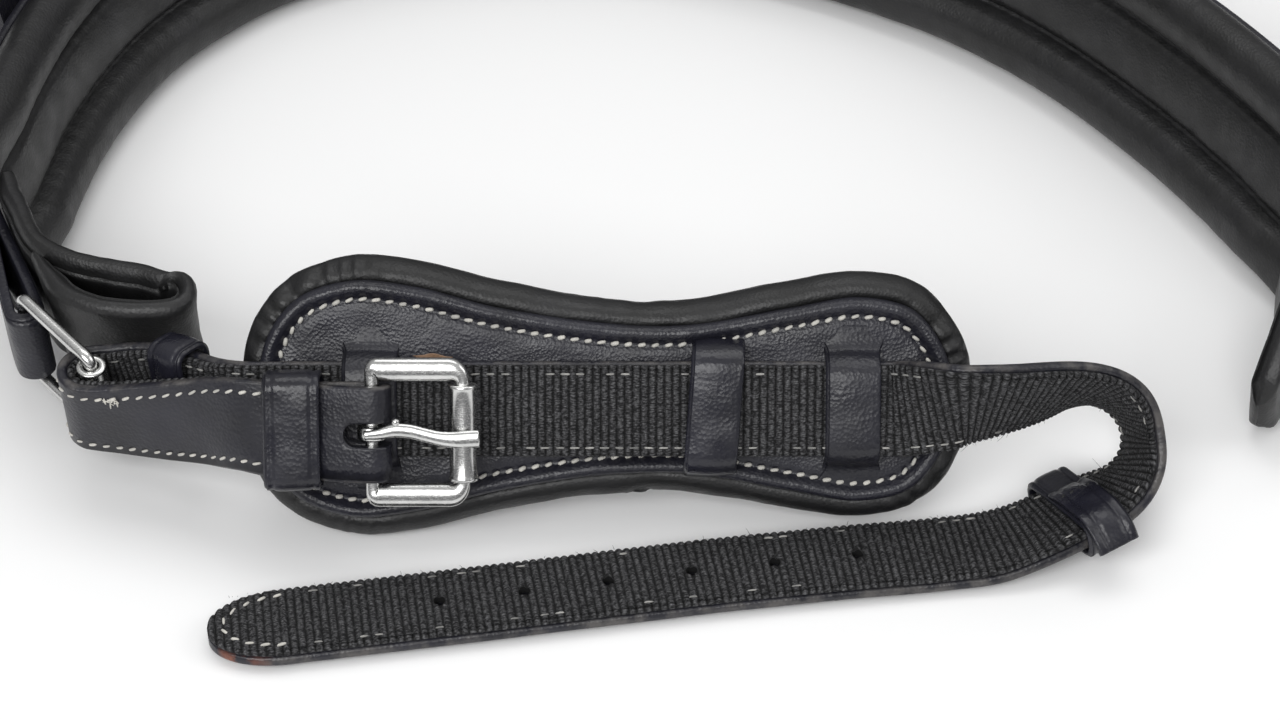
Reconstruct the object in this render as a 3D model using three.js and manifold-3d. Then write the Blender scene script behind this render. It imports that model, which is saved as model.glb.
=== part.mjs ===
// A padded crank collar for a horse's bridle: the band round the nose, the double-back strap with
// its roller buckle, and the jaw pad that slides on the strap. Millimetres, +Z up, lying on a table.
import * as THREE from "three";
import { mergeVertices } from "three/addons/utils/BufferGeometryUtils.js";
import Module from "manifold-3d";

const { Vector2, Vector3 } = THREE;
const wasm = await Module();
wasm.setup();

// ---- Driving dimensions ----
const CLEAR = 0.3; // gap between neighbouring pieces
const UP = new Vector3(0, 0, 1);

const STRAP = { width: 18.2, leather: 2, webbing: 1.3, glue: 0.4, webbingWidth: 17.3, tipLength: 15 };
const TAIL_TILT = 4; // degrees that the tail's near edge stands off the table
const HOLES = { count: 6, pitch: 16, fromTip: 43.5, diameter: 4 };

const BAND = {
  width: 43,
  face: 2.2,
  faceMargin: 2.5,
  lining: 0.8,
  taperLength: 26,
  taperShare: 0.45,
  leanLeft: 8,
  leanRight: 14,
};
// Plan of the band's foot, from the left end round the nose to the right end.
const BAND_PLAN = [
  [-130.2, 13],
  [-131, 23],
  [-130.4, 40],
  [-123.6, 74],
  [-106.5, 109],
  [-75.5, 135.5],
  [-15.5, 148.5],
  [43, 132.5],
  [84, 105.5],
  [114.8, 67],
  [134.4, 30],
  [138.8, 10],
];
// Half of the lined section, as height and depth: lower roll, seam, channel, seam, upper roll.
const BAND_SECTION = [
  [2, 0.5],
  [0.6, 3],
  [1, 6.5],
  [3.6, 9.2],
  [8, 9.6],
  [11.5, 7.6],
  [13.5, 4.4],
  [16, 5.8],
  [21.5, 6.6],
  [27, 5.8],
  [29.5, 4.4],
  [31.8, 7.2],
  [36, 9.2],
  [40, 8.2],
  [42.4, 5.2],
  [42.4, 2.6],
  [41, 0.5],
];

// A rollered loop: a rectangular wire frame with a roller on one of its long legs.
const LOOP = { wire: 2.4, inside: 19.8, corner: 2, rollerOuter: 5.5 };
const LOOP_HEIGHT = 21; // of the middle of both loops
const ROLLER_HEIGHT = 20; // of the left roller, which the loop's lean lowers
const LEFT_LOOP = { leg: [-120.3, -16.8], roller: [-105, -33.3], lean: 7 };
const RIGHT_LOOP = { leg: [137.5, -13], roller: [145, -34.1], lean: 0 };
const CHAPE = { leather: 2.2, width: 17.6 };
const FLAP = { thickness: 5.4, height: 36, lean: 15 };
const HANGER = {
  width: 22,
  height: 62,
  foot: 9,
  leather: 2.6,
  slotWidth: 14,
  slotHeight: 5,
  stand: 1.3,
  leftAlong: 0.135,
  rightAlong: 0.945,
};

// The jaw pad's own frame: x along the strap, y across it, z out of the plate.
const PAD = {
  origin: new Vector3(0, -42, 25.7),
  tilt: 58,
  centre: 1.4,
  plate: 2.2,
  plateInset: 4.4,
  depth: 14,
  cover: 0.9,
};
// Half outline of the pad: place along the strap and half width.
const PAD_HALF = [
  [-77, 0],
  [-74.8, 13.5],
  [-67.4, 23],
  [-55, 27.2],
  [-42, 26],
  [-26, 22],
  [-4, 18.8],
  [10, 18.8],
  [27, 21.8],
  [42, 24],
  [54, 21],
  [61.4, 12],
  [64, 0],
];
// The cover's bulge: height above the plate's face and inset from the outline.
const PAD_BULGE = [
  [-1.8, 3.4],
  [-3.2, 0.9],
  [-5.2, 0],
  [-7.6, 0.7],
  [-10.4, 3],
  [-12.8, 6.6],
  [-14, 11],
];
const BRIDGE = { leather: 1.6, width: 9.6, left: -51, right: 40.2 };
const PAD_KEEPER = { width: 10, at: 14, skew: 4, leather: 1.7 };

const BUCKLE = {
  bar: -50.1,
  roller: -33.1,
  across: -2.9,
  height: 9.7,
  inside: 19.4,
  leg: 3.7,
  wire: 2.6,
  corner: 1.9,
  rollerOuter: 5.2,
  rollerLength: 18.4,
  tongueWidth: 2.8,
  tongueThick: 1.9,
  slotHalfLength: 5.28,
  slotHalfWidth: 2.4,
};
const KEEPER = { leather: 1.2 };

const group = new THREE.Group();
const padGroup = new THREE.Group();
padGroup.position.copy(PAD.origin);
padGroup.rotation.x = THREE.MathUtils.degToRad(PAD.tilt);
group.add(padGroup);

// ---- Materials ----
const blackLeather = { color: 0x1b1b22, roughness: 0.45, metalness: 0 };
const softLining = { color: 0x17171a, roughness: 0.8, metalness: 0 };
const foam = { color: 0x4a4a4d, roughness: 1, metalness: 0 };
const webbing = { color: 0x141416, roughness: 0.95, metalness: 0 };
const steel = { color: 0xc9ccd0, roughness: 0.22, metalness: 1 };

// ---- Geometry helpers ----
function vector(x, y, z) {
  return new Vector3(x, y, z);
}

function radians(degrees) {
  return THREE.MathUtils.degToRad(degrees);
}

function addMesh(name, geometry, look, parent = group) {
  const mesh = new THREE.Mesh(geometry, new THREE.MeshStandardMaterial(look));
  mesh.name = name;
  parent.add(mesh);
  return mesh;
}

function indexed(geometry) {
  const bare = geometry.clone();
  bare.deleteAttribute("normal");
  bare.deleteAttribute("uv");
  return mergeVertices(bare, 1e-4);
}

function toSolid(geometry) {
  const merged = indexed(geometry);
  return new wasm.Manifold(
    new wasm.Mesh({
      numProp: 3,
      vertProperties: merged.attributes.position.array,
      triVerts: new Uint32Array(merged.index.array),
    }),
  );
}

function fromSolid(solid) {
  const made = solid.getMesh();
  const geometry = new THREE.BufferGeometry();
  geometry.setAttribute("position", new THREE.BufferAttribute(made.vertProperties, 3));
  geometry.setIndex(new THREE.BufferAttribute(made.triVerts, 1));
  geometry.computeVertexNormals();
  return geometry;
}

function cutBy(geometry, cutters) {
  let solid = toSolid(geometry);
  for (const cutter of cutters) {
    solid = solid.subtract(toSolid(cutter));
  }
  return fromSolid(solid);
}

function joined(geometries) {
  let solid = toSolid(geometries[0]);
  for (const extra of geometries.slice(1)) {
    solid = solid.add(toSolid(extra));
  }
  return fromSolid(solid);
}

function signedVolume(positions, index) {
  const corner = (k) => new Vector3().fromArray(positions, index[k] * 3);
  let volume = 0;
  for (let k = 0; k < index.length; k += 3) {
    volume += corner(k).dot(corner(k + 1).cross(corner(k + 2)));
  }
  return volume;
}

// Triangles over an outline, turning the way the outline does.
function capTriangles(outline) {
  const triangles = THREE.ShapeUtils.triangulateShape(outline, []);
  const clockwise = THREE.ShapeUtils.area(outline) < 0;
  return clockwise ? triangles.map(([a, b, c]) => [a, c, b]) : triangles;
}

// A closed body through rings of equal point counts; a closed loft joins its last ring to its first.
function loft(rings, capOutlines, closed = false) {
  const count = rings[0].length;
  const positions = rings.flat().flatMap((p) => p.toArray());
  const index = [];
  const spans = closed ? rings.length : rings.length - 1;
  for (let ring = 0; ring < spans; ring++) {
    const next = (ring + 1) % rings.length;
    for (let j = 0; j < count; j++) {
      const k = (j + 1) % count;
      const a = ring * count + j;
      const b = ring * count + k;
      const c = next * count + j;
      const d = next * count + k;
      index.push(a, b, d, a, d, c);
    }
  }
  if (!closed) {
    const last = (rings.length - 1) * count;
    for (const [a, b, c] of capTriangles(capOutlines[0])) {
      index.push(a, c, b);
    }
    for (const [a, b, c] of capTriangles(capOutlines[1])) {
      index.push(last + a, last + b, last + c);
    }
  }
  if (signedVolume(positions, index) < 0) {
    for (let k = 0; k < index.length; k += 3) {
      [index[k], index[k + 1]] = [index[k + 1], index[k]];
    }
  }
  const geometry = new THREE.BufferGeometry();
  geometry.setAttribute("position", new THREE.Float32BufferAttribute(positions, 3));
  geometry.setIndex(index);
  geometry.computeVertexNormals();
  return geometry;
}

function makeStation(at, along, up) {
  const T = along.clone().normalize();
  const W = up.clone().addScaledVector(T, -up.dot(T)).normalize();
  return { at: at.clone(), along: T, up: W, face: T.clone().cross(W) };
}

const MOST_TWIST = 4; // degrees that a strap's section turns from one station to the next

// Stations on a smooth path through { at, up } points, closer together where it bends.
function stationsAlong(points, { closed = false, chord = 9, bend = 16 } = {}) {
  const path = new THREE.CatmullRomCurve3(points.map((p) => p.at), closed, "centripetal");
  const ups = new THREE.CatmullRomCurve3(points.map((p) => p.up), closed, "catmullrom");
  const spans = closed ? points.length : points.length - 1;
  const stations = [];
  let travelled = 0;
  const place = (t) => {
    const station = makeStation(path.getPoint(t), path.getTangent(t), ups.getPoint(t));
    const before = stations.at(-1);
    travelled += before ? before.at.distanceTo(station.at) : 0;
    stations.push({ ...station, travelled, span: t * spans });
  };
  for (let span = 0; span < spans; span++) {
    const from = path.getPoint(span / spans);
    const to = path.getPoint((span + 1) / spans);
    const turn = path.getTangent(span / spans).angleTo(path.getTangent((span + 1) / spans));
    const twist = ups.getPoint(span / spans).angleTo(ups.getPoint((span + 1) / spans));
    const steps = Math.max(
      1,
      Math.ceil(from.distanceTo(to) / chord),
      Math.ceil(THREE.MathUtils.radToDeg(turn) / bend),
      Math.ceil(THREE.MathUtils.radToDeg(twist) / MOST_TWIST),
    );
    for (let step = 0; step < steps; step++) {
      place((span + step / steps) / spans);
    }
  }
  if (!closed) {
    place(1);
  }
  return stations;
}

// A section of [up, face] points swept along stations; shape(station) may vary it.
function sweep(shape, stations, closed = false) {
  const outlines = stations.map((s) => shape(s));
  const rings = stations.map((s, i) =>
    outlines[i].map((p) => s.at.clone().addScaledVector(s.up, p.x).addScaledVector(s.face, p.y)),
  );
  return loft(rings, [outlines[0], outlines.at(-1)], closed);
}

// A rectangle whose long sides are split, so that it can twist smoothly.
function rectangle(low, high, back, front, parts = 1) {
  const side = [];
  for (let part = 0; part <= parts; part++) {
    side.push(THREE.MathUtils.lerp(low, high, part / parts));
  }
  const lower = side.map((x) => new Vector2(x, back));
  const upper = side.map((x) => new Vector2(x, front)).reverse();
  return [...lower, ...upper];
}

function roundedRectangle(halfWidth, halfHeight, radius, steps) {
  const points = [];
  for (let corner = 0; corner < 4; corner++) {
    const signX = corner === 0 || corner === 3 ? 1 : -1;
    const signY = corner < 2 ? 1 : -1;
    for (let step = 0; step <= steps; step++) {
      const angle = (corner + step / steps) * (Math.PI / 2);
      points.push(
        new Vector2(
          signX * (halfWidth - radius) + radius * Math.cos(angle),
          signY * (halfHeight - radius) + radius * Math.sin(angle),
        ),
      );
    }
  }
  return points;
}

// Points of an open or closed outline moved along its normals.
function offset(points, distance, closed = false) {
  const count = points.length;
  return points.map((p, i) => {
    const before = closed || i > 0 ? points[(i - 1 + count) % count] : p;
    const after = closed || i < count - 1 ? points[(i + 1) % count] : p;
    const direction = after.clone().sub(before).normalize();
    return new Vector2(p.x + direction.y * distance, p.y - direction.x * distance);
  });
}

function tube(outer, inner, length) {
  const profile = [
    new Vector2(inner / 2, -length / 2),
    new Vector2(outer / 2, -length / 2),
    new Vector2(outer / 2, length / 2),
    new Vector2(inner / 2, length / 2),
    new Vector2(inner / 2, -length / 2),
  ];
  return new THREE.LatheGeometry(profile, 20).rotateX(Math.PI / 2);
}

function onPad(x, across, out) {
  const tilt = radians(PAD.tilt);
  const y = across * Math.cos(tilt) - out * Math.sin(tilt);
  const z = across * Math.sin(tilt) + out * Math.cos(tilt);
  return vector(x, y, z).add(PAD.origin);
}

// The direction across a strap whose edge leans this many degrees up from the far side.
function edge(degrees) {
  return vector(0, Math.cos(radians(degrees)), Math.sin(radians(degrees)));
}

// ---- Strap ----
// The strap's route is where its leather meets its webbing: from the end folded back under the buckle
// bar, left to the loop's roller, round it, right through the pad, over and back to the tip.
function strapRoute() {
  const across = BUCKLE.across;
  const flat = edge(PAD.tilt);
  const route = [];
  const add = (at, up) => route.push({ at, up });
  const foldRadius = BUCKLE.wire / 2 + CLEAR;
  add(onPad(-67, across + 0.2, 7.9), flat);
  add(onPad(-61, across, 7.9), flat);
  add(onPad(-56, across, 8), flat);
  for (let angle = -90; angle <= 90; angle += 45) {
    const out = BUCKLE.height + foldRadius * Math.sin(radians(angle));
    add(onPad(BUCKLE.bar + foldRadius * Math.cos(radians(angle)), across, out), flat);
  }
  add(onPad(-56, across, 10.1), flat);
  add(onPad(-61.5, across + 0.2, 8.7), flat);
  add(onPad(-68, across + 0.5, 8.4), edge(59));
  add(vector(-75, -48.4, 27.7), edge(67));
  add(vector(-83, -44.3, 24.6), edge(79));
  add(vector(-92, -41.2, 22), edge(88));
  add(vector(-100.5, -38.8, 20.4), edge(95));
  const wrapRadius = LOOP.rollerOuter / 2 + CLEAR + STRAP.webbing + STRAP.glue / 2;
  const [x, y] = LEFT_LOOP.roller;
  for (let angle = 270; angle >= 90; angle -= 30) {
    const dx = wrapRadius * Math.cos(radians(angle));
    const dy = wrapRadius * Math.sin(radians(angle));
    add(vector(x + dx, y + dy, ROLLER_HEIGHT), edge(90 + LEFT_LOOP.lean));
  }
  add(vector(-99.5, -28.9, 20.3), edge(95));
  add(vector(-92.5, -31.5, 21.7), edge(88));
  add(vector(-86, -36.2, 23.5), edge(78));
  add(vector(-80.5, -40.9, 25.1), edge(67));
  add(onPad(-75.5, 0, 2.3), flat);
  for (const along of [-66, -40, 0, 30, 45, 48.5]) {
    add(onPad(along, 0, STRAP.leather + CLEAR + STRAP.glue / 2), flat);
  }
  add(vector(54, -46.3, 29.4), edge(74));
  add(vector(61, -48.3, 31.6), edge(90));
  add(vector(70, -45.8, 30.6), vector(0, -0.2, 0.97));
  add(vector(79.2, -41, 28.2), vector(0, -0.37, 0.92));
  add(vector(87.2, -36.5, 24.6), vector(0, -0.54, 0.84));
  add(vector(93.4, -34, 19.4), vector(0.05, -0.65, 0.75));
  add(vector(97.2, -36.2, 13.2), vector(0.2, -0.72, 0.64));
  add(vector(96, -41.2, 8.8), vector(0.3, -0.83, 0.42));
  add(vector(90.6, -46.2, 6.8), vector(0.2, -0.93, 0.28));
  add(vector(84, -50.2, 6.2), vector(0.06, -0.97, 0.16));
  add(vector(77, -53.8, 5.1), vector(0, -1, 0.12));
  const tailHeight = STRAP.leather + (STRAP.width / 2) * Math.tan(radians(TAIL_TILT));
  add(vector(68, -56.4, tailHeight + 0.6), edge(180 - TAIL_TILT));
  for (const [tailX, tailY] of [
    [58, -57.8],
    [40, -60],
    [12, -63.9],
    [-26, -70.2],
    [-58, -75.4],
    [-80.5, -79],
  ]) {
    add(vector(tailX, tailY, tailHeight), edge(180 - TAIL_TILT));
  }
  return route;
}

const strapStations = stationsAlong(strapRoute(), { bend: 13 });
const strapLength = strapStations.at(-1).travelled;

function tipShare(station) {
  const left = Math.max(strapLength - station.travelled, 0) / STRAP.tipLength;
  return left >= 1 ? 1 : 0.22 + 0.78 * Math.sqrt(1 - (1 - left) ** 2);
}

// Extra stations near the tip, so that its rounding has a smooth outline.
function withTip(stations) {
  const last = stations.at(-1);
  const kept = stations.filter((s) => s.travelled < strapLength - STRAP.tipLength);
  const steps = 7;
  for (let step = 0; step <= steps; step++) {
    const back = STRAP.tipLength * (1 - step / steps) ** 1.6;
    kept.push({
      ...last,
      at: last.at.clone().addScaledVector(last.along, -back),
      travelled: strapLength - back,
    });
  }
  return kept;
}

function holeCutters() {
  const last = strapStations.at(-1);
  const cutters = [];
  for (let hole = 0; hole < HOLES.count; hole++) {
    const back = HOLES.fromTip + hole * HOLES.pitch;
    const near = strapStations.findLastIndex((s) => s.travelled <= strapLength - back);
    const from = strapStations[near];
    const to = strapStations[near + 1];
    const share = (strapLength - back - from.travelled) / (to.travelled - from.travelled);
    const at = from.at.clone().lerp(to.at, share);
    const cutter = new THREE.CylinderGeometry(HOLES.diameter / 2, HOLES.diameter / 2, 20, 12);
    cutter.rotateX(Math.PI / 2).translate(at.x, at.y, last.at.z);
    cutters.push(cutter);
  }
  return cutters;
}

const WEBBING_START = 10.4; // in spans of the route, past the folded-back end

function buildStrap() {
  const half = STRAP.width / 2;
  const webHalf = STRAP.webbingWidth / 2;
  const glue = STRAP.glue / 2;
  const leatherShape = (s) =>
    rectangle(-half * tipShare(s), half * tipShare(s), -STRAP.leather, -glue, 4);
  const webShape = (s) =>
    rectangle(-webHalf * tipShare(s), webHalf * tipShare(s), glue, STRAP.webbing + glue, 4);
  const stations = withTip(strapStations);
  const webStations = stations.filter((s) => s.span > WEBBING_START);
  const slot = new THREE.CylinderGeometry(1, 1, 30, 12).rotateX(Math.PI / 2);
  slot.scale(BUCKLE.slotHalfLength, BUCKLE.slotHalfWidth, 1);
  slot.translate(BUCKLE.bar, BUCKLE.across, 0);
  const slotInPlace = slot.rotateX(radians(PAD.tilt)).translate(...PAD.origin.toArray());
  const backHalf = new THREE.BoxGeometry(60, 60, 10);
  backHalf.translate(BUCKLE.bar, 0, -0.6).rotateX(radians(PAD.tilt));
  backHalf.translate(...PAD.origin.toArray());
  const tongueSlot = fromSolid(toSolid(slotInPlace).subtract(toSolid(backHalf)));
  addMesh(
    "strap_leather",
    cutBy(sweep(leatherShape, stations), [...holeCutters(), tongueSlot]),
    blackLeather,
  );
  addMesh("strap_webbing", cutBy(sweep(webShape, webStations), holeCutters()), webbing);
}

// ---- Keepers on the strap ----
function keeperGeometry(insideWidth, insideHeight, leather, width) {
  const outline = roundedRectangle(insideWidth / 2 + leather, insideHeight / 2 + leather, 1.6, 3);
  const opening = roundedRectangle(insideWidth / 2, insideHeight / 2, 0.6, 2);
  const shape = new THREE.Shape(outline);
  shape.holes.push(new THREE.Path(opening));
  const geometry = new THREE.ExtrudeGeometry(shape, { depth: width, bevelEnabled: false });
  return geometry.translate(0, 0, -width / 2);
}

// A loop round the strap at a station; middle is how far its centre stands off the route.
function addKeeper(name, station, middle, inside) {
  const geometry = keeperGeometry(inside.width, inside.height, KEEPER.leather, inside.length);
  const mesh = addMesh(name, geometry, blackLeather);
  const basis = new THREE.Matrix4().makeBasis(station.up, station.face, station.along);
  mesh.quaternion.setFromRotationMatrix(basis);
  mesh.position.copy(station.at).addScaledVector(station.face, middle);
}

// The place on the strap, counted in spans of its route.
function strapAt(span) {
  const before = strapStations.findLastIndex((s) => s.span <= span);
  const [from, to] = strapStations.slice(before, before + 2);
  const share = (span - from.span) / (to.span - from.span);
  const mix = (key) => from[key].clone().lerp(to[key], share);
  return makeStation(mix("at"), mix("along"), mix("up"));
}

// ---- Band ----
function bandStations() {
  const plan = BAND_PLAN.map(([x, y]) => vector(x, y, 0));
  const path = new THREE.CatmullRomCurve3(plan, false, "centripetal");
  const last = plan.length - 1;
  const points = plan.map((at, i) => {
    const along = path.getTangent(i / last);
    const outward = UP.clone().cross(along);
    const lean = radians(THREE.MathUtils.lerp(BAND.leanLeft, BAND.leanRight, i / last));
    const up = UP.clone().multiplyScalar(Math.cos(lean)).addScaledVector(outward, Math.sin(lean));
    return { at, up };
  });
  return stationsAlong(points, { chord: 16, bend: 14 });
}

const band = bandStations();
const bandLength = band.at(-1).travelled;

function bandTaper(station) {
  const fromEnd = Math.min(station.travelled, bandLength - station.travelled);
  const share = THREE.MathUtils.smoothstep(fromEnd, 0, BAND.taperLength);
  return THREE.MathUtils.lerp(BAND.taperShare, 1, share);
}

function bandOutline(station, inward) {
  const taper = bandTaper(station);
  const lined = BAND_SECTION.map(([up, deep]) => new Vector2(up, deep * taper + 0.3));
  return offset(lined, inward);
}

function buildBand() {
  const half = BAND.lining / 2;
  const liningShape = (s) => [...bandOutline(s, -half), ...bandOutline(s, half).reverse()];
  const paddingShape = (s) => bandOutline(s, half + 1.5 * CLEAR);
  const margin = BAND.faceMargin;
  const faceShape = () => rectangle(margin, BAND.width - margin, -BAND.face, -0.2);
  addMesh("band_face", sweep(faceShape, band), blackLeather);
  addMesh("band_lining", sweep(liningShape, band), softLining);
  addMesh("band_padding", sweep(paddingShape, band.slice(1, -1)), foam);
}

// A tab stitched to the outside of the band, with a slot at its top for the headstrap.
function addHanger(name, along) {
  const station = band.reduce((a, b) =>
    Math.abs(a.travelled - along * bandLength) < Math.abs(b.travelled - along * bandLength) ? a : b,
  );
  const half = HANGER.width / 2;
  const outline = roundedRectangle(half, HANGER.height / 2, 6, 4);
  const shape = new THREE.Shape(outline.map((p) => p.add(new Vector2(0, HANGER.height / 2))));
  const slot = roundedRectangle(HANGER.slotWidth / 2, HANGER.slotHeight / 2, 2, 3);
  const slotUp = HANGER.height - HANGER.slotHeight / 2 - 5;
  shape.holes.push(new THREE.Path(slot.map((p) => p.add(new Vector2(0, slotUp)))));
  const geometry = new THREE.ExtrudeGeometry(shape, { depth: HANGER.leather, bevelEnabled: false });
  const mesh = addMesh(name, geometry, blackLeather);
  const outward = station.face.clone().negate();
  const basis = new THREE.Matrix4().makeBasis(station.up.clone().cross(outward), station.up, outward);
  mesh.quaternion.setFromRotationMatrix(basis);
  mesh.position.copy(station.at).addScaledVector(station.up, HANGER.foot);
  mesh.position.addScaledVector(outward, BAND.face + HANGER.stand);
}

// ---- Loops, chapes and flaps at the band's ends ----
function addLoop(side, place) {
  const leg = vector(...place.leg, LOOP_HEIGHT);
  const roller = vector(...place.roller, LOOP_HEIGHT);
  const up = edge(90 + place.lean);
  const along = roller.clone().sub(leg);
  along.addScaledVector(up, -along.dot(up)).normalize();
  const loop = new THREE.Group();
  loop.position.copy(leg).lerp(roller, 0.5);
  const basis = new THREE.Matrix4().makeBasis(along, up.clone().cross(along), up);
  loop.quaternion.setFromRotationMatrix(basis);
  group.add(loop);
  const halfReach = leg.distanceTo(roller) / 2;
  const halfHeight = (LOOP.inside + LOOP.wire) / 2;
  const corners = roundedRectangle(halfReach, halfHeight, LOOP.corner, 3);
  const stations = corners.map((p, i) => {
    const next = corners[(i + 1) % corners.length];
    const before = corners[(i - 1 + corners.length) % corners.length];
    const tangent = vector(next.x - before.x, 0, next.y - before.y);
    return makeStation(vector(p.x, 0, p.y), tangent, vector(0, 1, 0));
  });
  const wire = () => roundedRectangle(LOOP.wire / 2, LOOP.wire / 2, LOOP.wire / 2 - 0.01, 2);
  addMesh(side + "_loop", sweep(wire, stations, true), steel, loop);
  const bore = LOOP.wire + 2 * CLEAR;
  const sleeve = tube(LOOP.rollerOuter, bore, LOOP.inside - 2 * CLEAR);
  const mesh = addMesh(side + "_loop_roller", sleeve, steel, loop);
  mesh.position.x = halfReach;
}

// A leather fold round a loop's leg; its two plies run back along the band's end.
function addChape(side, place, outerEnd, innerEnd) {
  const [x, y] = place.leg;
  const turn = LOOP.wire / 2 + CLEAR + CHAPE.leather / 2 + 0.1;
  const middle = vector((outerEnd[0] + innerEnd[0]) / 2, (outerEnd[1] + innerEnd[1]) / 2, 0);
  const back = Math.atan2(middle.y - y, middle.x - x);
  const way = side === "left" ? 1 : -1;
  const up = edge(90 + place.lean);
  const points = [{ at: vector(...outerEnd, LOOP_HEIGHT), up: UP.clone() }];
  for (let angle = 90; angle <= 270; angle += 30) {
    const direction = back + way * radians(angle);
    const at = vector(x + turn * Math.cos(direction), y + turn * Math.sin(direction), LOOP_HEIGHT);
    points.push({ at, up });
  }
  points.push({ at: vector(...innerEnd, LOOP_HEIGHT), up: UP.clone() });
  const half = CHAPE.leather / 2;
  const shape = () => rectangle(-CHAPE.width / 2, CHAPE.width / 2, -half, half);
  addMesh(side + "_chape", sweep(shape, stationsAlong(points, { chord: 12 })), blackLeather);
}

function flapShape(heightShare) {
  const halfHeight = (FLAP.height / 2) * heightShare;
  return roundedRectangle(halfHeight, FLAP.thickness / 2, Math.min(2.6, halfHeight - 0.1), 2);
}

function addLeftFlap() {
  const up = edge(90 + FLAP.lean);
  const points = [
    [-124.6, 10.8],
    [-118.2, -1],
    [-111.5, -5.6],
    [-103, -8],
    [-95, -10.6],
    [-89.2, -15],
    [-90, -18.8],
    [-96, -19.8],
    [-104, -18.8],
    [-109.4, -16.4],
    [-112.6, -12.6],
  ].map(([x, y]) => ({ at: vector(x, y, 19.2), up }));
  addMesh("left_flap", sweep(() => flapShape(1), stationsAlong(points)), softLining);
}

function addRightFlap() {
  const points = [
    [133.9, 7, 18.6, 0.92],
    [131.6, -6, 16.8, 0.86],
    [127.6, -15.6, 12.8, 0.66],
    [123.6, -23.4, 9.4, 0.42],
    [122, -26, 8.8, 0.18],
  ];
  const stations = stationsAlong(points.map(([x, y, z]) => ({ at: vector(x, y, z), up: UP.clone() })));
  const last = points.length - 1;
  const shape = (s) => {
    const before = Math.min(Math.floor(s.span), last - 1);
    return flapShape(THREE.MathUtils.lerp(points[before][3], points[before + 1][3], s.span - before));
  };
  addMesh("right_flap", sweep(shape, stations), softLining);
}

// ---- Jaw pad ----
function padOutline(inset) {
  const upper = PAD_HALF.map(([x, half]) => vector(x, half, 0));
  const lower = upper.slice(1, -1).reverse().map((p) => vector(p.x, -p.y, 0));
  const curve = new THREE.CatmullRomCurve3([...upper, ...lower], true, "centripetal");
  const steps = 2 * (upper.length + lower.length);
  const points = [];
  for (let step = 0; step < steps; step++) {
    const p = curve.getPoint(step / steps);
    points.push(new Vector2(p.x, p.y));
  }
  return offset(points, inset, true).map((p) => p.add(new Vector2(0, PAD.centre)));
}

function padStack(levels) {
  const rings = levels.map(([out, inset]) =>
    padOutline(inset).map((p) => vector(p.x, p.y, out)),
  );
  return loft(rings, [padOutline(levels[0][1]), padOutline(levels.at(-1)[1])]);
}

function addPadBody() {
  const wall = PAD.cover;
  const covered = [[-2.6, PAD.plateInset - 1.6], ...PAD_BULGE];
  const hollow = covered.map(([out, inset]) => [Math.max(out, -PAD.depth + wall), inset + wall]);
  hollow[0][0] = 0;
  const cover = toSolid(padStack(PAD_BULGE)).subtract(toSolid(padStack(hollow)));
  addMesh("pad_cover", fromSolid(cover), softLining, padGroup);
  const core = hollow.slice(1).map(([out, inset]) => [out, inset + 2 * CLEAR]);
  core[0][0] = -PAD.plate - 2 * CLEAR;
  core.at(-1)[0] += CLEAR;
  addMesh("pad_padding", padStack(core), foam, padGroup);
}

// A low leather arch over the strap, standing on the plate on both sides of it.
function archGeometry(at, width, leather, sink, skew) {
  const top = STRAP.leather + STRAP.webbing + 3 * CLEAR;
  const inside = STRAP.width / 2 + 2 * CLEAR;
  const foot = inside + leather + 0.8;
  const shape = new THREE.Shape([
    new Vector2(-foot, sink),
    new Vector2(-inside, sink),
    new Vector2(-inside, top),
    new Vector2(inside, top),
    new Vector2(inside, sink),
    new Vector2(foot, sink),
    new Vector2(inside + 0.9, top + leather * 0.7),
    new Vector2(inside - 1.2, top + leather),
    new Vector2(1.2 - inside, top + leather),
    new Vector2(-inside - 0.9, top + leather * 0.7),
  ]);
  const geometry = new THREE.ExtrudeGeometry(shape, { depth: width, bevelEnabled: false });
  geometry.translate(0, 0, -width / 2).rotateX(Math.PI / 2).rotateZ(Math.PI / 2);
  geometry.rotateZ(radians(skew));
  return geometry.translate(at, 0, 0);
}

function addPlate() {
  const edgeInset = PAD.plateInset;
  const plate = padStack([
    [-PAD.plate, edgeInset + 0.5],
    [-PAD.plate / 2, edgeInset],
    [0, edgeInset + 0.7],
  ]);
  const bridges = [BRIDGE.left, BRIDGE.right].map((at) =>
    archGeometry(at, BRIDGE.width, BRIDGE.leather, -0.4, 0),
  );
  addMesh("pad_plate", joined([plate, ...bridges]), blackLeather, padGroup);
  const keeper = archGeometry(PAD_KEEPER.at, PAD_KEEPER.width, PAD_KEEPER.leather, CLEAR, PAD_KEEPER.skew);
  addMesh("pad_keeper", keeper, blackLeather, padGroup);
}

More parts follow.
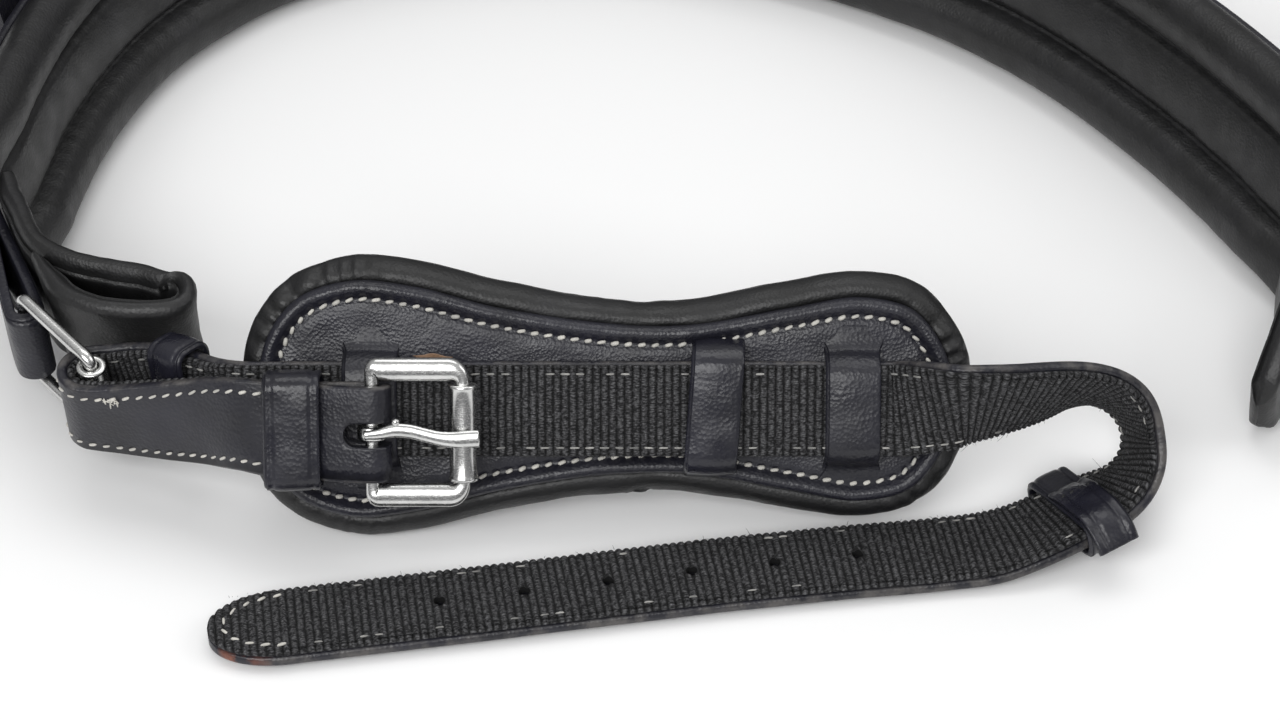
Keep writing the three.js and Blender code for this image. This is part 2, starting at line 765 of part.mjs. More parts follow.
// ---- Roller buckle ----
function addBuckle() {
  const buckle = new THREE.Group();
  buckle.position.set(BUCKLE.bar, BUCKLE.across, BUCKLE.height);
  padGroup.add(buckle);
  const reach = BUCKLE.roller - BUCKLE.bar;
  const halfHeight = BUCKLE.inside / 2 + BUCKLE.leg / 2;
  const corners = roundedRectangle(reach / 2, halfHeight, BUCKLE.corner, 3);
  const stations = corners.map((p, i) => {
    const next = corners[(i + 1) % corners.length];
    const before = corners[(i - 1 + corners.length) % corners.length];
    const tangent = vector(next.x - before.x, next.y - before.y, 0);
    return makeStation(vector(p.x + reach / 2, p.y, 0), tangent, vector(0, 0, 1));
  });
  const frameShape = (s) => {
    const onLeg = Math.abs(s.along.x) ** 2;
    const wide = THREE.MathUtils.lerp(BUCKLE.wire, BUCKLE.leg, onLeg) / 2;
    return roundedRectangle(BUCKLE.wire / 2, wide, Math.min(BUCKLE.wire / 2, wide) - 0.01, 2);
  };
  addMesh("buckle_frame", sweep(frameShape, stations, true), steel, buckle);
  const sleeve = tube(BUCKLE.rollerOuter, BUCKLE.wire + 2 * CLEAR, BUCKLE.rollerLength);
  const roller = addMesh("buckle_roller", sleeve.rotateX(Math.PI / 2), steel, buckle);
  roller.position.x = reach;
  addTongue(buckle, reach);
}

// The tongue's eye turns on the bar, and its tip rests on the roller.
function addTongue(buckle, reach) {
  const half = BUCKLE.tongueWidth / 2;
  const eyeInner = BUCKLE.wire / 2 + CLEAR;
  const eyeOuter = eyeInner + 1.1;
  const eye = tube(2 * eyeOuter, 2 * eyeInner, BUCKLE.tongueWidth).rotateX(Math.PI / 2);
  const rest = BUCKLE.rollerOuter / 2 + CLEAR;
  const top = BUCKLE.tongueThick;
  const shape = new THREE.Shape([
    new Vector2(eyeInner + 0.2, -0.9),
    new Vector2(5, -0.6),
    new Vector2(9, 0.3),
    new Vector2(12.5, rest - 0.4),
    new Vector2(reach - 1.6, rest + 0.1),
    new Vector2(reach + 2.4, rest + 0.1),
    new Vector2(reach + 2.4, rest + top - 0.4),
    new Vector2(reach - 1.5, rest + top),
    new Vector2(11.5, rest + top - 0.4),
    new Vector2(8, top + 0.7),
    new Vector2(4, top - 0.4),
    new Vector2(eyeInner + 0.2, 0.9),
  ]);
  const arm = new THREE.ExtrudeGeometry(shape, { depth: BUCKLE.tongueWidth, bevelEnabled: false });
  arm.translate(0, 0, -half).rotateX(Math.PI / 2);
  addMesh("buckle_tongue", joined([eye, arm]), steel, buckle);
}

// ---- Assembly ----
buildBand();
addHanger("left_hanger", HANGER.leftAlong);
addHanger("right_hanger", HANGER.rightAlong);
addLoop("left", LEFT_LOOP);
addLoop("right", RIGHT_LOOP);
addChape("left", LEFT_LOOP, [-135.8, 12], [-131.9, 12]);
addChape("right", RIGHT_LOOP, [144.8, 8.6], [140.4, 8.6]);
addLeftFlap();
addRightFlap();
buildStrap();
addPadBody();
addPlate();
addBuckle();
const byBuckle = makeStation(onPad(-65, BUCKLE.across + 0.2, 8.5), vector(-1, 0, 0), edge(58.6));
addKeeper("buckle_keeper", byBuckle, 0, { width: 19.6, height: 6, length: 9 });
addKeeper("ring_keeper", strapAt(23.7), -0.45, { width: 19.2, height: 5.9, length: 8 });
addKeeper("tail_keeper", strapAt(42), -0.1, { width: 19.2, height: 5.4, length: 7.5 });

const bounds = new THREE.Box3().setFromObject(group, true);
group.position.set(
  -(bounds.min.x + bounds.max.x) / 2,
  -(bounds.min.y + bounds.max.y) / 2,
  -bounds.min.z,
);

export default group;
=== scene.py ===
"""The looks of a padded crank collar for a horse's bridle: its leather, webbing, stitching and steel.

Routes and outlines are in millimetres in the layout frame, whose origin lies on the table where the camera
aims. LAYOUT moves them to the row frame, and every mesh is made in metres.
"""

import math

import bmesh
import bpy
import numpy as np
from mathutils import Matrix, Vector, noise


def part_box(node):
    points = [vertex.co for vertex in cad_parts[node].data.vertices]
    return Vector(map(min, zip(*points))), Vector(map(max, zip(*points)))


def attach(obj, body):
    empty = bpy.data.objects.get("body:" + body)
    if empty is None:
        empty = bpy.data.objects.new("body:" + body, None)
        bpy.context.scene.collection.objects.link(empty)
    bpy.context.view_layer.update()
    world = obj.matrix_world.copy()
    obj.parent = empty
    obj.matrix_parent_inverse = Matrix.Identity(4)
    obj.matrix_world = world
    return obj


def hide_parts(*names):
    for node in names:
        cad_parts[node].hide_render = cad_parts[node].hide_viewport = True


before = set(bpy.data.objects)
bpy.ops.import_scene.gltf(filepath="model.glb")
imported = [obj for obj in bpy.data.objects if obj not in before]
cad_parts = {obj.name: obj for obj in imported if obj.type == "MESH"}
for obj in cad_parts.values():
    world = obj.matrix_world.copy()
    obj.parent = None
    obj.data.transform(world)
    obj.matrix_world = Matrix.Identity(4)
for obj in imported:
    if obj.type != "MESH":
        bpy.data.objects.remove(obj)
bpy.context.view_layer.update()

MM = 0.001
rng = np.random.default_rng(7)


def centre_of(node):
    low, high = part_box(node)
    return np.array((low + high) / 2)


# ---- Driving dimensions, in millimetres ----
STRAP_WIDTH = 18.2
STRAP_LEATHER = 2
WEBBING_WIDTH = 17.4
WEBBING_THICK = 1.3
RIB_PITCH = 1.5
TIP_LENGTH = 15
TAIL_TILT = 4
HOLES = {"count": 6, "pitch": 16, "first": 43.5, "leather": 3, "webbing": 2.2}
STITCH_PITCH = 2.8
STITCH_INSET = 2.3
KEEPER_THICK = 1.3

LOOP_HEIGHT = 21
ROLLER_HEIGHT = 20
LOOP_WIRE = 2.4
LOOP_INSIDE = 19.8
ROLLER_OUTER = 5.5
LEFT_LEG = (-120.3, -16.8)
LEFT_ROLLER = (-105, -33.3)
LEFT_LEAN = 7
RIGHT_LEG = (137.5, -13)
RIGHT_ROLLER = (145, -34.1)
CHAPE_WIDTH = 17.6
# Where each chape's outer and inner ends lie inside the band.
LEFT_CHAPE = ((-134.2, 18.5), (-131.6, 14.5))
RIGHT_CHAPE = ((141.8, 15), (139.4, 12))
FLAP_THICK = 5.4
FLAP_HEIGHT = 36
FLAP_LEAN = 15

PAD_ORIGIN = np.array([0, -42, 25.7])
PAD_TILT = 58
PAD_MIDPOINT = np.array([0, 1.4])
PAD_HALF = [
    (-77, 0),
    (-74.8, 13.5),
    (-67.4, 23),
    (-55, 27.2),
    (-42, 26),
    (-26, 22),
    (-4, 18.8),
    (10, 18.8),
    (27, 21.8),
    (42, 24),
    (54, 21),
    (61.4, 12),
    (64, 0),
]
BRIDGES = (-51, 40.2)
BRIDGE_WIDTH = 10.4
PAD_KEEPER = {"at": 14, "width": 10, "skew": 4}

CLOTH_FRAMES = 20

BUCKLE = {"bar": -50.1, "roller": -33.1, "across": -2.9, "height": 9.7}
BUCKLE |= {"inside": 19.4, "leg": 4.5, "wire": 2.7}

BAND_PLAN = [
    (-130.2, 13),
    (-131, 23),
    (-130.4, 40),
    (-123.6, 74),
    (-106.5, 109),
    (-75.5, 135.5),
    (-15.5, 148.5),
    (43, 132.5),
    (84, 105.5),
    (114.8, 67),
    (134.4, 30),
    (138.8, 10),
]
BAND_WIDTH = 43
BAND_SEAMS = (13.6, 29.4)
# Height and depth of the lined side: lower roll, channel between the seams, upper roll.
BAND_SECTION = [
    (2, 0.6),
    (0.6, 3),
    (1, 6.5),
    (3.6, 9.2),
    (8, 9.8),
    (11.3, 8.2),
    (13.6, 5.2),
    (16, 6.2),
    (21.5, 6.8),
    (27, 6.2),
    (29.4, 5.2),
    (31.8, 7.8),
    (36, 9.4),
    (40, 8.4),
    (42.4, 5.2),
    (42.4, 2.6),
    (41, 0.6),
]
BAND_TAPER_LENGTH = 26
BAND_TAPER_SHARE = 0.45
BAND_LEAN = (8, 14)

# Places along the strap, counted in spans of the route that strap_pairs gives.
FOLD_ROW = (9, 10.2)
WEBBING_START = 10.4
WORN_BEND = 15
RING_KEEPER = 23.7
PAD_MIDDLE = 27
CURL = (33, 44.5)
CURL_ROW_START = 34
TAIL_START = 41
TAIL_KEEPER = 42
CURL_EASE = 22

CAMERA = {"distance": 0.623, "tilt": 42, "lens": 85, "sensor": 36}

# The right loop's roller stands upright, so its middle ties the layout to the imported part.
LAYOUT = centre_of("right_loop_roller") - np.array([*RIGHT_ROLLER, LOOP_HEIGHT]) * MM


# ---- Curves ----
def unit(vectors):
    return vectors / np.maximum(np.linalg.norm(vectors, axis=-1, keepdims=True), 1e-12)


def smooth_step(share):
    return share**2 * (3 - 2 * share)


def hump(values, middle, reach):
    """A bell of height 1 round a middle."""
    return np.exp(-(((values - middle) / reach) ** 2))


def run_along(points):
    """The length travelled at each point of a line."""
    return np.concatenate([[0], np.cumsum(np.linalg.norm(np.diff(points, axis=0), axis=1))])


def between(places, run, rows):
    """Rows read off at lengths along a line."""
    return np.stack([np.interp(places, run, rows[:, k]) for k in range(rows.shape[1])], -1)


def edge(degrees):
    """The direction across a strap whose edge leans this many degrees up from the far side."""
    return np.array([0, math.cos(math.radians(degrees)), math.sin(math.radians(degrees))])


def on_pad(x, across, out):
    """Points of the jaw pad's own frame, in the layout frame."""
    flat, normal = edge(PAD_TILT), edge(PAD_TILT + 90)
    x, across, out = np.broadcast_arrays(*(np.asarray(v, float) for v in (x, across, out)))
    moved = PAD_ORIGIN + x[..., None] * np.array([1.0, 0, 0])
    return moved + across[..., None] * flat + out[..., None] * normal


def catmull(points, per_span, closed=False, centripetal=True):
    """A Catmull-Rom curve through the points, and each sample's place counted in spans."""
    points = np.array(points, float)
    count = len(points)
    if closed:
        padded = np.vstack([points[-1], points, points[0], points[1]])
        spans = count
    else:
        padded = np.vstack([2 * points[0] - points[1], points, 2 * points[-1] - points[-2]])
        spans = count - 1
    made, places = [], []
    t = np.linspace(0, 1, per_span, endpoint=False)[:, None]
    for span in range(spans):
        a, b, c, d = padded[span : span + 4]
        power = 0.5 if centripetal else 0
        first, middle, last = (max(np.linalg.norm(q - p) ** power, 1e-6) for p, q in ((a, b), (b, c), (c, d)))
        start = ((b - a) / first - (c - a) / (first + middle) + (c - b) / middle) * middle
        end = ((c - b) / middle - (d - b) / (middle + last) + (d - c) / last) * middle
        made.append(
            b + start * t + (3 * (c - b) - 2 * start - end) * t**2 + (2 * (b - c) + start + end) * t**3
        )
        places.append(span + t[:, 0])
    if not closed:
        made.append(points[-1:])
        places.append(np.array([float(spans)]))
    return np.vstack(made), np.concatenate(places)


class Route:
    """Stations along a line in the layout frame: points, axes, lengths, and places counted in spans."""

    def __init__(self, travelled, span, at, axes, length, closed=False):
        self.travelled, self.span, self.at = travelled, span, at
        self.along, self.up, self.face = axes
        self.length = length
        self.closed = closed

    def turn_to(self, at, up):
        """Moves the stations, and sets the axes by the new line and its up vectors."""
        self.at = at
        self.along = unit(np.gradient(at, axis=0))
        self.up = unit(up - (up * self.along).sum(1, keepdims=True) * self.along)
        self.face = np.cross(self.along, self.up)

    def part(self, low, high):
        """The stretch between two lengths."""
        kept = (self.travelled >= low - 1e-6) & (self.travelled <= high + 1e-6)
        axes = (self.along[kept], self.up[kept], self.face[kept])
        return Route(self.travelled[kept], self.span[kept], self.at[kept], axes, self.length)

    def at_span(self, span):
        """The length at a place counted in spans."""
        return float(np.interp(span, self.span, self.travelled))

    def frame_at(self, travelled):
        """Points and axes at given lengths."""
        at, *axes = (between(travelled, self.travelled, v) for v in (self.at, self.along, self.up, self.face))
        return at, *(unit(axis) for axis in axes)

    def one_frame(self, travelled):
        """The point and the axes at one length."""
        return tuple(values[0] for values in self.frame_at(np.array([travelled])))

    def spread(self, outline):
        """Points of an outline at every station; an outline without a second column stays on the line."""
        points = self.at[:, None] + outline[..., :1] * self.up[:, None]
        if outline.shape[-1] > 1:
            points = points + outline[..., 1:] * self.face[:, None]
        return points

    def repeated(self, section):
        """A section copied to every station, to be changed there."""
        return np.broadcast_to(section, (len(self.at), *section.shape)).copy()


def route_through(pairs, step, closed=False):
    """A route at even steps along a smooth line through (point, up) pairs."""
    at, spans = catmull([p for p, _ in pairs], 40, closed)
    up, _ = catmull([u for _, u in pairs], 40, closed, centripetal=False)
    if closed:
        at, up, spans = np.vstack([at, at[:1]]), np.vstack([up, up[:1]]), np.append(spans, len(pairs))
    run = run_along(at)
    travelled = np.linspace(0, run[-1], max(3, int(round(run[-1] / step)) + 1))
    route = Route(travelled, np.interp(travelled, run, spans), at, (at, up, up), run[-1], closed)
    route.turn_to(between(travelled, run, at), between(travelled, run, up))
    return route


# ---- Outlines ----
def rounded_box(low, high, back, front, radius, side, corner=3):
    """A rectangle whose long sides are split, as [up, face] points.

    Its corners at (high, back) and (low, front) are round. The other two are cut flat, and the points of
    the cut lie folded in under the surface.
    """
    left, right, bottom, top = low + radius, high - radius, back + radius, front - radius
    across = np.linspace(left, right, side + 1)
    turns = np.radians(np.linspace(-90, 0, corner + 2)[1:-1])
    arc = radius * np.column_stack([np.cos(turns), np.sin(turns)])
    stretches = [
        np.column_stack([across, np.full(side + 1, back)]),
        (right, bottom) + arc,
        [(high, bottom), (high, top)],
        (right, top) - arc,
        np.column_stack([across[::-1], np.full(side + 1, front)]),
        (left, top) - arc,
        [(low, top), (low, bottom)],
        (left, bottom) + arc,
    ]
    return np.vstack(stretches)


def thinned(points, gap):
    """The points that lie more than a gap from the last one kept."""
    kept = [points[0]]
    for point in points[1:]:
        if math.dist(point, kept[-1]) > gap:
            kept.append(point)
    return kept


def ellipse(wide, thick, count=16, square=2.6):
    """A rounded section between an ellipse and a rectangle."""
    angle = np.linspace(0, 2 * math.pi, count, endpoint=False)
    power = 2 / square
    c, s = np.cos(angle), np.sin(angle)
    return np.column_stack(
        [wide / 2 * np.sign(c) * np.abs(c) ** power, thick / 2 * np.sign(s) * np.abs(s) ** power]
    )


def rounded_ring(half_x, half_y, radii, steps=8):
    """Points round a rectangle with round corners; radii is one radius, or one for each corner."""
    points = []
    radii = np.broadcast_to(radii, 4)
    for corner, (sx, sy) in enumerate(((1, 1), (-1, 1), (-1, -1), (1, -1))):
        radius = radii[corner]
        for turn in np.radians(np.linspace(corner * 90, corner * 90 + 90, steps)):
            x = sx * (half_x - radius) + radius * math.cos(turn)
            y = sy * (half_y - radius) + radius * math.sin(turn)
            points.append((x, y))
    return points


def moved_in(points, distance):
    """A closed outline moved along its normals."""
    direction = unit(np.roll(points, -1, 0) - np.roll(points, 1, 0))
    return points + np.column_stack([direction[:, 1], -direction[:, 0]]) * distance


def hills(points, size, seed=0.0):
    """Smooth noise at points given in millimetres, with hills of about this size."""
    flat = points.reshape(-1, 3) / size + seed
    return np.array([noise.noise(Vector(p)) for p in flat]).reshape(points.shape[:-1])


# ---- Meshes ----
def linked(name, data):
    made = bpy.data.objects.new(name, data)
    bpy.context.scene.collection.objects.link(made)
    return made


def layout_mesh(name, points, faces):
    """A mesh in metres, from layout-frame millimetres."""
    mesh = bpy.data.meshes.new(name)
    mesh.from_pydata((np.asarray(points) * MM + LAYOUT).tolist(), [], faces)
    return mesh


def to_object(name, points, faces, place=None):
    """A smooth mesh object from layout-frame millimetres; place is kept for the materials."""
    mesh = layout_mesh(name, points, faces)
    if place is not None:
        attribute = mesh.attributes.new("place", "FLOAT_VECTOR", "POINT")
        attribute.data.foreach_set("vector", (np.asarray(place) * MM).astype(np.float32).ravel())
    made = bmesh.new()
    made.from_mesh(mesh)
    bmesh.ops.remove_doubles(made, verts=made.verts, dist=1e-7)
    bmesh.ops.recalc_face_normals(made, faces=made.faces)
    made.to_mesh(mesh)
    made.free()
    mesh.polygons.foreach_set("use_smooth", [True] * len(mesh.polygons))
    return linked(name, mesh)


def grid(name, points, place, closed=False):
    """A tube of rings: points is (rings, points in a ring, 3)."""
    rings, count = points.shape[:2]
    faces = []
    for ring in range(rings if closed else rings - 1):
        a = ring * count
        b = ((ring + 1) % rings) * count
        for j in range(count):
            k = (j + 1) % count
            faces.append((a + j, a + k, b + k, b + j))
    if not closed:
        faces.append(tuple(range(count - 1, -1, -1)))
        faces.append(tuple((rings - 1) * count + j for j in range(count)))
    return to_object(name, points.reshape(-1, 3), faces, place.reshape(-1, 3))


def swept(name, route, outline):
    """outline is (points, 2) for all stations, or (stations, points, 2)."""
    if outline.ndim == 2:
        outline = route.repeated(outline)
    points = route.spread(outline)
    run = np.broadcast_to(route.travelled[:, None], outline.shape[:2])
    place = np.concatenate([run[..., None], outline], -1)
    if route.closed:
        points, place = points[:-1], place[:-1]
    return grid(name, points, place, closed=route.closed)


def capsules(name, at, along, lift, length, thick):
    """Short round stitches: centres, directions, and the normals they stand proud of."""
    around = 7
    angles = np.linspace(0, 2 * math.pi, around, endpoint=False)
    rings = [(-0.5, 0.35), (-0.36, 0.85), (0, 1.0), (0.36, 0.85), (0.5, 0.35)]
    side = unit(np.cross(along, lift))
    points, faces, count = [], [], len(at)
    for share, wide in rings:
        middle = at + along * (share * length)[:, None] + lift * (0.25 * thick * (wide - 0.85))[:, None]
        for angle in angles:
            out = side * math.cos(angle) + lift * math.sin(angle)
            points.append(middle + out * (thick * wide / 2)[:, None])
    points = np.stack(points, 1)
    per = len(rings) * around
    for item in range(count):
        base = item * per
        for ring in range(len(rings) - 1):
            for j in range(around):
                k = (j + 1) % around
                a, b = base + ring * around, base + (ring + 1) * around
                faces.append((a + j, a + k, b + k, b + j))
        faces.append(tuple(base + j for j in range(around))[::-1])
        faces.append(tuple(base + per - around + j for j in range(around)))
    return to_object(name, points.reshape(-1, 3), faces)


def stitches(name, centres, normals, pitch=STITCH_PITCH, thick=0.62, share=0.62, keep=1.0, slant=0.3):
    """Stitches at even steps along a line of points; keep is the share that hasn't worn away."""
    run = run_along(centres)
    count = int(run[-1] / pitch)
    places = (np.arange(count) + 0.5) * run[-1] / count
    at = between(places, run, centres)
    lift = unit(between(places, run, normals))
    along = unit(between(places + 0.4, run, centres) - between(places - 0.4, run, centres))
    along = unit(along + slant * np.cross(lift, along) + rng.normal(0, 0.03, along.shape))
    shown = rng.random(count) < keep
    length = pitch * share * rng.uniform(0.88, 1.08, count)
    width = thick * rng.uniform(0.85, 1.12, count)
    return capsules(name, at[shown], along[shown], lift[shown], length[shown], width[shown])


def row_on(name, route, low, high, across, out, **look):
    """A stitch row on a strap, at a place across it and off its route."""
    part = route.part(low, high)
    centres = part.at + across * part.up + out * part.face
    return stitches(name, centres, part.face * np.sign(out), **look)


# ---- Materials ----
class Nodes:
    """The node tree of a new material, or of a copy of a base, with short calls to add to it."""

    def __init__(self, name, base=None):
        self.material = base.copy() if base else bpy.data.materials.new(name)
        self.material.name = name
        self.material.use_nodes = True
        self.tree = self.material.node_tree
        self.shader = self.tree.nodes["Principled BSDF"]

    def add(self, kind, inputs=(), **settings):
        node = self.tree.nodes.new("ShaderNode" + kind)
        for key, value in settings.items():
            setattr(node, key, value)
        for key, value in dict(inputs).items():
            self.give(node.inputs[key], value)
        return node

    def give(self, socket, value):
        if isinstance(value, bpy.types.NodeSocket):
            self.tree.links.new(value, socket)
        else:
            socket.default_value = value

    def object_place(self, stretch=(1, 1, 1)):
        coordinates = self.add("TexCoord").outputs["Object"]
        return self.add("Mapping", {"Vector": coordinates, "Scale": stretch}).outputs[0]

    def kept_place(self, stretch=(1, 1, 1)):
        coordinates = self.add("Attribute", attribute_name="place").outputs["Vector"]
        return self.add("Mapping", {"Vector": coordinates, "Scale": stretch}).outputs[0]

    def noise(self, place, size, detail=3.0, rough=0.55):
        inputs = {"Vector": place, "Scale": 1 / (size * MM), "Detail": detail, "Roughness": rough}
        return self.add("TexNoise", inputs).outputs["Fac"]

    def cells(self, place, size, feature="F1"):
        inputs = {"Vector": place, "Scale": 1 / (size * MM)}
        return self.add("TexVoronoi", inputs, feature=feature).outputs["Distance"]

    def span(self, value, low, high, to_low=0.0, to_high=1.0):
        inputs = {"Value": value, "From Min": low, "From Max": high, "To Min": to_low, "To Max": to_high}
        return self.add("MapRange", inputs).outputs[0]

    def mix(self, share, first, second):
        node = self.add("Mix", data_type="RGBA")
        self.give(node.inputs[0], share)
        for socket, colour in ((node.inputs[6], first), (node.inputs[7], second)):
            self.give(socket, colour if isinstance(colour, bpy.types.NodeSocket) else (*colour, 1))
        return node.outputs[2]

    def math(self, operation, *values):
        return self.add("Math", dict(enumerate(values)), operation=operation).outputs[0]

    def bump(self, height, distance, before=None):
        inputs = {"Height": height, "Distance": distance * MM, "Strength": 1.0}
        if before is not None:
            inputs["Normal"] = before
        return self.add("Bump", inputs).outputs[0]

    def shade(self, **inputs):
        for key, value in inputs.items():
            self.give(self.shader.inputs[key.replace("_", " ")], value)
        return self.material


def leather(name, dark, light, rough, grain=0.7, depth=0.08, crease=0.15):
    """Dyed leather: pebbled grain, long soft creases, uneven dye and uneven shine."""
    n = Nodes(name)
    place = n.object_place()
    patches = n.noise(place, 14, 4)
    fine = n.noise(place, 1.2, 3)
    colour = n.mix(n.span(patches, 0.35, 0.7), dark, light)
    pores = n.cells(place, grain)
    folds = n.noise(n.object_place((0.35, 1.5, 1)), 9, 2)
    normal = n.bump(folds, crease)
    normal = n.bump(fine, 0.02, before=normal)
    normal = n.bump(pores, depth, before=normal)
    gloss = n.span(n.noise(place, 6, 4), 0.3, 0.75, rough - 0.07, rough + 0.12)
    return n.shade(Base_Color=colour, Roughness=gloss, Normal=normal, Specular_IOR_Level=0.5)


def with_worn_edges(name, material, half, length):
    """The leather with its cut edges scuffed grey, and rubbed brown by the strap's tip."""
    n = Nodes(name, material)
    run, across, _ = n.add("SeparateXYZ", {0: n.kept_place()}).outputs
    from_middle = n.math("ABSOLUTE", across)
    at_edge = n.span(from_middle, (half - 0.75) * MM, (half - 0.1) * MM)
    patchy = n.span(n.noise(n.object_place(), 4, 6), 0.42, 0.62)
    base = n.shader.inputs["Base Color"].links[0].from_socket
    tone = n.mix(n.math("MULTIPLY", at_edge, patchy), base, (0.075, 0.07, 0.068))
    near_tip = n.span(run, (length - 12) * MM, (length - 4) * MM)
    rubbed = n.math("MULTIPLY", n.math("MULTIPLY", near_tip, n.span(across, 4 * MM, 6 * MM)), patchy)
    return n.shade(Base_Color=n.mix(rubbed, tone, (0.22, 0.07, 0.035)))


def woven(name, dark, light):
    """Ribbed nylon webbing: yarns across each rib, lint, painted strand highlights and painted shade between
    ribs.
    """
    n = Nodes(name)
    yarns = n.noise(n.kept_place((3.2, 1, 1)), 1.1, 2)
    strands = n.cells(n.kept_place((0.8, 2.0, 1)), 0.62)
    lint = n.span(n.noise(n.kept_place(), 0.8, 5), 0.56, 0.72)
    along = n.add("SeparateXYZ", {0: n.kept_place()}).outputs[0]
    rib = n.math("ABSOLUTE", n.math("SINE", n.math("MULTIPLY", along, math.pi / (RIB_PITCH * MM))))
    # Pale strand middles over dark edges: a painted highlight on the strands.
    tone = n.mix(n.span(strands, 0.1, 0.75), light, dark)
    # Painted shade: the gaps between the ribs are darkened to near black.
    tone = n.mix(n.span(rib, 0.2, 0.85, 0.95, 0), tone, (0.002, 0.002, 0.002))
    tone = n.mix(n.span(yarns, 0.35, 0.65, 0, 0.6), tone, dark)
    tone = n.mix(n.span(lint, 0, 1, 0, 0.35), tone, (0.16, 0.16, 0.17))
    normal = n.bump(strands, 0.28)
    normal = n.bump(yarns, 0.15, before=normal)
    return n.shade(Base_Color=tone, Roughness=0.85, Normal=normal, Specular_IOR_Level=0.3)


def thread(name, colour, dirt):
    """Twisted thread, soiled in patches."""
    n = Nodes(name)
    place = n.object_place()
    strands = n.noise(place, 0.25, 2)
    soiled = n.span(n.noise(place, 5, 3), 0.35, 0.65)
    return n.shade(Base_Color=n.mix(soiled, colour, dirt), Roughness=0.75, Normal=n.bump(strands, 0.06))


def steel(name, base, rough):
    """Polished stainless steel with fine brushing and a few scratches."""
    n = Nodes(name)
    brushed = n.noise(n.object_place((1, 5, 5)), 0.9, 4)
    scratches = n.span(n.noise(n.object_place((6, 1, 2)), 1.4, 6), 0.62, 0.7)
    gloss = n.span(brushed, 0.3, 0.7, rough - 0.06, rough + 0.1)
    normal = n.bump(brushed, 0.003)
    normal = n.bump(scratches, 0.004, before=normal)
    smudge = n.span(n.noise(n.object_place(), 7, 3), 0.4, 0.7)
    tint = n.mix(smudge, base, tuple(0.82 * c for c in base))
    return n.shade(Base_Color=tint, Roughness=gloss, Metallic=1.0, Normal=normal)


def suede(name, dark, light):
    """The flesh side of leather: fibrous and matt."""
    n = Nodes(name)
    place = n.object_place()
    fibres = n.noise(place, 0.9, 6, 0.7)
    clumps = n.noise(place, 3.5, 3)
    normal = n.bump(clumps, 0.3)
    normal = n.bump(fibres, 0.35, before=normal)
    colour = n.mix(n.span(fibres, 0.35, 0.7), dark, light)
    return n.shade(Base_Color=colour, Roughness=0.95, Normal=normal, Sheen_Weight=0.3)


BRIDLE = leather("bridle_leather", (0.008, 0.008, 0.012), (0.014, 0.014, 0.022), 0.38)
KEEPER = leather("keeper_leather", (0.008, 0.008, 0.012), (0.015, 0.015, 0.024), 0.3, depth=0.05)
PLATE = leather("plate_leather", (0.009, 0.009, 0.014), (0.017, 0.017, 0.026), 0.37, 0.55, crease=0.2)
NAPPA = leather("soft_leather", (0.006, 0.006, 0.006), (0.011, 0.011, 0.012), 0.46, 0.6, 0.06, 0.25)
RAW = suede("raw_leather", (0.16, 0.09, 0.05), (0.33, 0.2, 0.12))
# The webbing's pale tone is a painted highlight on its strands.
WEBBING = woven("webbing", (0.01, 0.01, 0.011), (0.15, 0.15, 0.155))
CREAM = thread("cream_thread", (0.62, 0.6, 0.55), (0.42, 0.41, 0.38))
GREY = thread("grey_thread", (0.42, 0.41, 0.39), (0.13, 0.13, 0.125))
WEBBING_FLUFF = thread("webbing_fluff", (0.03, 0.03, 0.032), (0.012, 0.012, 0.012))
BLACK_THREAD = thread("black_thread", (0.012, 0.012, 0.013), (0.02, 0.02, 0.02))
STEEL = steel("steel", (0.66, 0.66, 0.65), 0.21)


def finish_piece(piece, material, body, replaces=()):
    """Gives a piece its material, its body and what it stands for."""
    piece.data.materials.clear()
    piece.data.materials.append(material)
    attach(piece, body)
    if replaces:
        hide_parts(*replaces)
    return piece


